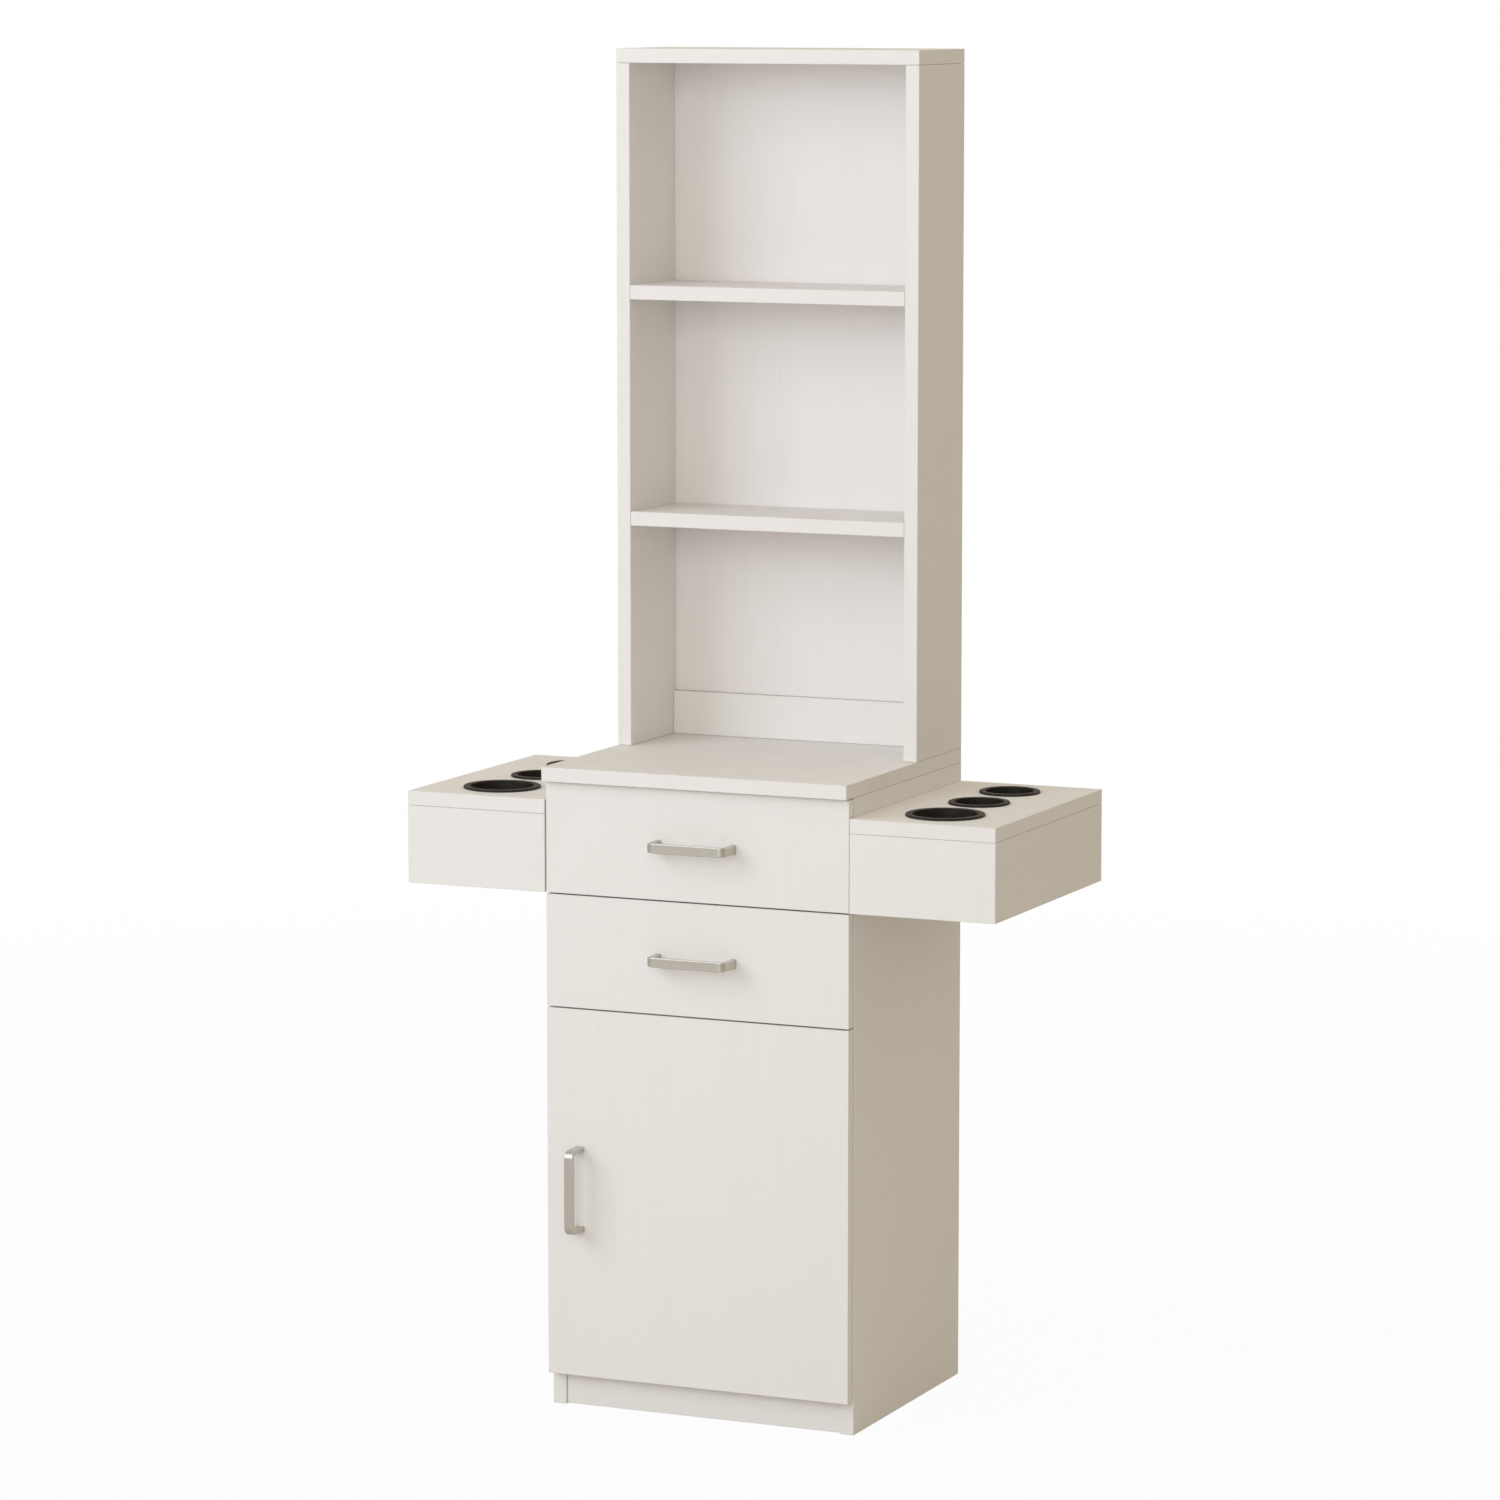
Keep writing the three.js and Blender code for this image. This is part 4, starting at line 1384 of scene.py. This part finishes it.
class STATION_OT_fasteners(StationPart, bpy.types.Operator):
    """Builds the loose hardware of the cabinet: shelf pins, cover caps under the fixed shelves,
    the bolts that hold the tool boxes and the nails of the back panels"""

    bl_idname = "station.fasteners"
    bl_label = "Fasteners"

    def execute(self, context):
        self.pins()
        self.shelf_caps()
        self.box_bolts()
        self.back_nails()
        return {"FINISHED"}

    def pins(self):
        """Four pins in the side panels: a shank, a collar and a shorter end under the shelf."""
        rows, height = pin_rows()
        shank, collar, end = 2.35 * MM, 3.4 * MM, 2.4 * MM
        profile = (
            (shank * 0.4, -8 * MM), (shank, -8 * MM), (shank, 0.1 * MM), (collar, 0.1 * MM),
            (collar, 1.4 * MM), (end, 1.4 * MM), (end, 9 * MM), (end * 0.4, 9 * MM)
        )
        radii = np.array((0, 0.5, 0.1, 0.3, 0.3, 0.2, 0.8, 0)) * MM
        pin = turned(profile, radii, 32)
        pins = [
            pin.placed((inner_face(side), y, height - 0.95 * MM), -sign * X) for side,
            sign in SIDES.items() for y in rows
        ]
        piece("shelf_pins", all_of(pins), finish("hinge_steel"), "carcass")

    def shelf_caps(self):
        places = []
        for node in ("shelf_lower", "shelf_upper", "divider_panel"):
            low, high = extent(node)
            inset = (high[1] - low[1]) * 0.22
            places += [
                (sign * (high[0] - 34 * MM), y, low[2])
                for sign in SIDES.values()
                for y in (low[1] + inset, high[1] - inset)
            ]
        caps = [cap(8.5 * MM, 0.9 * MM).placed(place, -Z) for place in places]
        piece("shelf_caps", all_of(caps), finish("cap_plastic"), "carcass")

    def box_bolts(self):
        """Flat-headed bolts through each side panel into its tool box."""
        top = extent("wing_left_front")[1][2]
        low = extent("wing_left_bottom")[0][2]
        depth = extent("base_side_left")[1][1] - extent("base_side_left")[0][1]
        front = extent("base_side_left")[0][1]
        bolts = [
            cap(7 * MM, 2.2 * MM).placed(
                (inner_face(side), front + depth * share, z), -sign * X
            ) for side,
            sign in SIDES.items() for share in (0.22, 0.78) for z in (top - 14 * MM, low + 9 * MM)
        ]
        piece("box_bolts", all_of(bolts), finish("zinc"), "carcass")

    def back_nails(self):
        """Small domed nails through the back panels into the boards behind them."""
        places = []
        for panel, boards in (
            ("unit_back_panel", ("shelf_lower", "shelf_upper")),
            ("base_back_panel", ("bottom_panel", "divider_panel"))
        ):
            rear = extent(panel)[1][1]
            half = extent("shelf_lower")[1][0]
            places += [
                (share * half, rear, middle_of(node)[2])
                for node in boards
                for share in (-0.82, -0.28, 0.28, 0.82)
            ]
        head = turned(
            ((0.8 * MM, 0), (3.2 * MM, 0), (2.6 * MM, 0.8 * MM), (0.6 * MM, 1.1 * MM)),
            (0, 0.2 * MM, 0.5 * MM, 0), 20
        )
        nails = all_of([head.placed(place, Y) for place in places])
        piece("back_nails", nails, finish("zinc"), "carcass")


# ---------------------------------------------------------------------------------------------
# Stage

CAMERA_TURN = math.radians(23.9)  # to the right of straight in front
CAMERA_LIFT = math.radians(7.75)
CAMERA_DISTANCE = 7.26
CAMERA_LENS = 138.7
AIM_SHARE = 0.4863  # of the height
SENSOR = 36.0


def toward(turn, lift):
    """The direction from the object to something that stands round it, turn to the right of
    straight in front and lift above the level."""
    return Vector((math.sin(turn) * math.cos(lift), -math.cos(turn) * math.cos(lift), math.sin(lift)))


class STATION_OT_stage(StationPart, bpy.types.Operator):
    """Sets the plain pale floor, the soft studio light and the camera"""

    bl_idname = "station.stage"
    bl_label = "Stage"

    # name, turn and lift in degrees, distance, width, height, watts, colour
    LIGHTS = (
        ("key_softbox", -38, 26, 4.2, 2.6, 3.0, 75.0, (0.72, 0.79, 0.98)),
        ("front_softbox", 8, 14, 5.2, 2.6, 2.6, 69.0, (0.85, 0.93, 0.98)),
        ("top_softbox", 0, 86, 3.2, 2.4, 2.4, 9.0, (1.0, 0.98, 0.95)),
        ("rear_softbox", 165, 32, 4.6, 2.2, 2.2, 12.0, (0.9, 0.95, 1.0))
    )
    AMBIENT = 0.60
    AMBIENT_COLOUR = (1.0, 0.90, 0.735, 1)
    FLOOR_LIFT = 0.96
    FLOOR_FADE = (1.4, 4.5)

    def execute(self, context):
        scene = context.scene
        low, high = cad_box
        middle = Vector(((low.x + high.x) / 2, (low.y + high.y) / 2, (low.z + high.z) / 2))
        self.floor(low.z)
        for name, turn, lift, distance, width, height, power, colour in self.LIGHTS:
            self.softbox(
                name, middle, toward(math.radians(turn), math.radians(lift)) * distance,
                (width, height), power, colour
            )
        self.surroundings(scene)
        aim = Vector((middle.x, middle.y, low.z + AIM_SHARE * (high.z - low.z)))
        self.camera(scene, aim)
        scene.view_settings.view_transform = "Standard"
        return {"FINISHED"}

    def floor(self, height):
        """A wide flat disc: a ring of points at the floor's height."""
        points, _, _ = circle((0, 0), 40.0, 96)
        ring = np.column_stack((points, np.full(len(points), height - 0.3 * MM)))
        mesh = bpy.data.meshes.new("floor")
        mesh.from_pydata(ring, [], [list(range(len(ring)))])
        obj = bpy.data.objects.new("floor", mesh)
        bpy.context.scene.collection.objects.link(obj)
        mesh.materials.append(self.floor_finish())

    def floor_finish(self):
        """Pale matt floor. What the camera sees of it is lifted towards white, so that only the
        soft shadow under the station shows."""
        material = bpy.data.materials.new("floor")
        material.use_nodes = True
        tree = material.node_tree
        tree.nodes.clear()
        matt = add(tree, "ShaderNodeBsdfDiffuse", {"Color": (0.66, 0.645, 0.63, 1)})
        lift = add(tree, "ShaderNodeEmission", {"Color": (1, 1, 1, 1), "Strength": 1.0})
        seen = add(tree, "ShaderNodeLightPath").outputs["Is Camera Ray"]
        place = add(tree, "ShaderNodeTexCoord").outputs["Object"]
        away = add(tree, "ShaderNodeVectorMath", {0: place}, operation="LENGTH").outputs["Value"]
        share = maths(tree, "MULTIPLY", seen, ramp(tree, away, *self.FLOOR_FADE, self.FLOOR_LIFT, 1.0))
        mixed = add(tree, "ShaderNodeMixShader", {0: share, 1: matt.outputs[0], 2: lift.outputs[0]})
        end = tree.nodes.new("ShaderNodeOutputMaterial")
        tree.links.new(mixed.outputs[0], end.inputs["Surface"])
        return material

    def softbox(self, name, middle, offset, size, power, colour):
        data = bpy.data.lights.new(name, "AREA")
        data.shape = "RECTANGLE"
        data.size, data.size_y = size
        data.energy = power
        data.color = colour
        obj = bpy.data.objects.new(name, data)
        obj.location = middle + offset
        obj.rotation_euler = (-offset).to_track_quat("-Z", "Y").to_euler()
        bpy.context.scene.collection.objects.link(obj)

    def surroundings(self, scene):
        """White behind the station, and a dimmer even light from all round."""
        world = bpy.data.worlds.new("studio")
        world.use_nodes = True
        tree = world.node_tree
        tree.nodes.clear()
        dim = add(
            tree, "ShaderNodeBackground", {"Color": self.AMBIENT_COLOUR, "Strength": self.AMBIENT}
        )
        white = add(tree, "ShaderNodeBackground", {"Color": (1, 1, 1, 1), "Strength": 1.0})
        seen = add(tree, "ShaderNodeLightPath").outputs["Is Camera Ray"]
        mixed = add(tree, "ShaderNodeMixShader", {0: seen, 1: dim.outputs[0], 2: white.outputs[0]})
        end = tree.nodes.new("ShaderNodeOutputWorld")
        tree.links.new(mixed.outputs[0], end.inputs["Surface"])
        scene.world = world

    def camera(self, scene, aim):
        data = bpy.data.cameras.new("camera")
        data.lens = CAMERA_LENS
        data.sensor_width = SENSOR
        obj = bpy.data.objects.new("camera", data)
        offset = toward(CAMERA_TURN, CAMERA_LIFT) * CAMERA_DISTANCE
        obj.location = aim + offset
        obj.rotation_euler = (-offset).to_track_quat("-Z", "Y").to_euler()
        scene.collection.objects.link(obj)
        scene.camera = obj


# ---------------------------------------------------------------------------------------------
# Panel and registration

PARTS = (
    STATION_OT_base_cabinet, STATION_OT_shelf_unit, STATION_OT_tool_boxes, STATION_OT_cups,
    STATION_OT_drawers, STATION_OT_runners, STATION_OT_door, STATION_OT_handles, STATION_OT_hinges,
    STATION_OT_fasteners, STATION_OT_stage
)


class STATION_PT_sidebar(bpy.types.Panel):
    """Lists the parts and the settings of the station"""

    bl_idname = "STATION_PT_sidebar"
    bl_label = "Salon Styling Station"
    bl_space_type = "VIEW_3D"
    bl_region_type = "UI"
    bl_category = "Station"

    def draw(self, context):
        layout = self.layout
        parts = layout.column(align=True)
        for part in PARTS:
            parts.operator(part.bl_idname)
        for settings in (context.scene.station_sizes, context.scene.station_colours):
            box = layout.box()
            for name in settings.__annotations__:
                box.prop(settings, name)


CLASSES = (StationSizes, StationColours, *PARTS, STATION_PT_sidebar)


def register():
    for cls in CLASSES:
        bpy.utils.register_class(cls)
    bpy.types.Scene.station_sizes = PointerProperty(type=StationSizes)
    bpy.types.Scene.station_colours = PointerProperty(type=StationColours)


def unregister():
    del bpy.types.Scene.station_colours
    del bpy.types.Scene.station_sizes
    for cls in reversed(CLASSES):
        bpy.utils.unregister_class(cls)


def main():
    register()
    for part in PARTS:
        group_name, operator_name = part.bl_idname.split(".")
        getattr(getattr(bpy.ops, group_name), operator_name)()


if __name__ == "__main__":
    main()
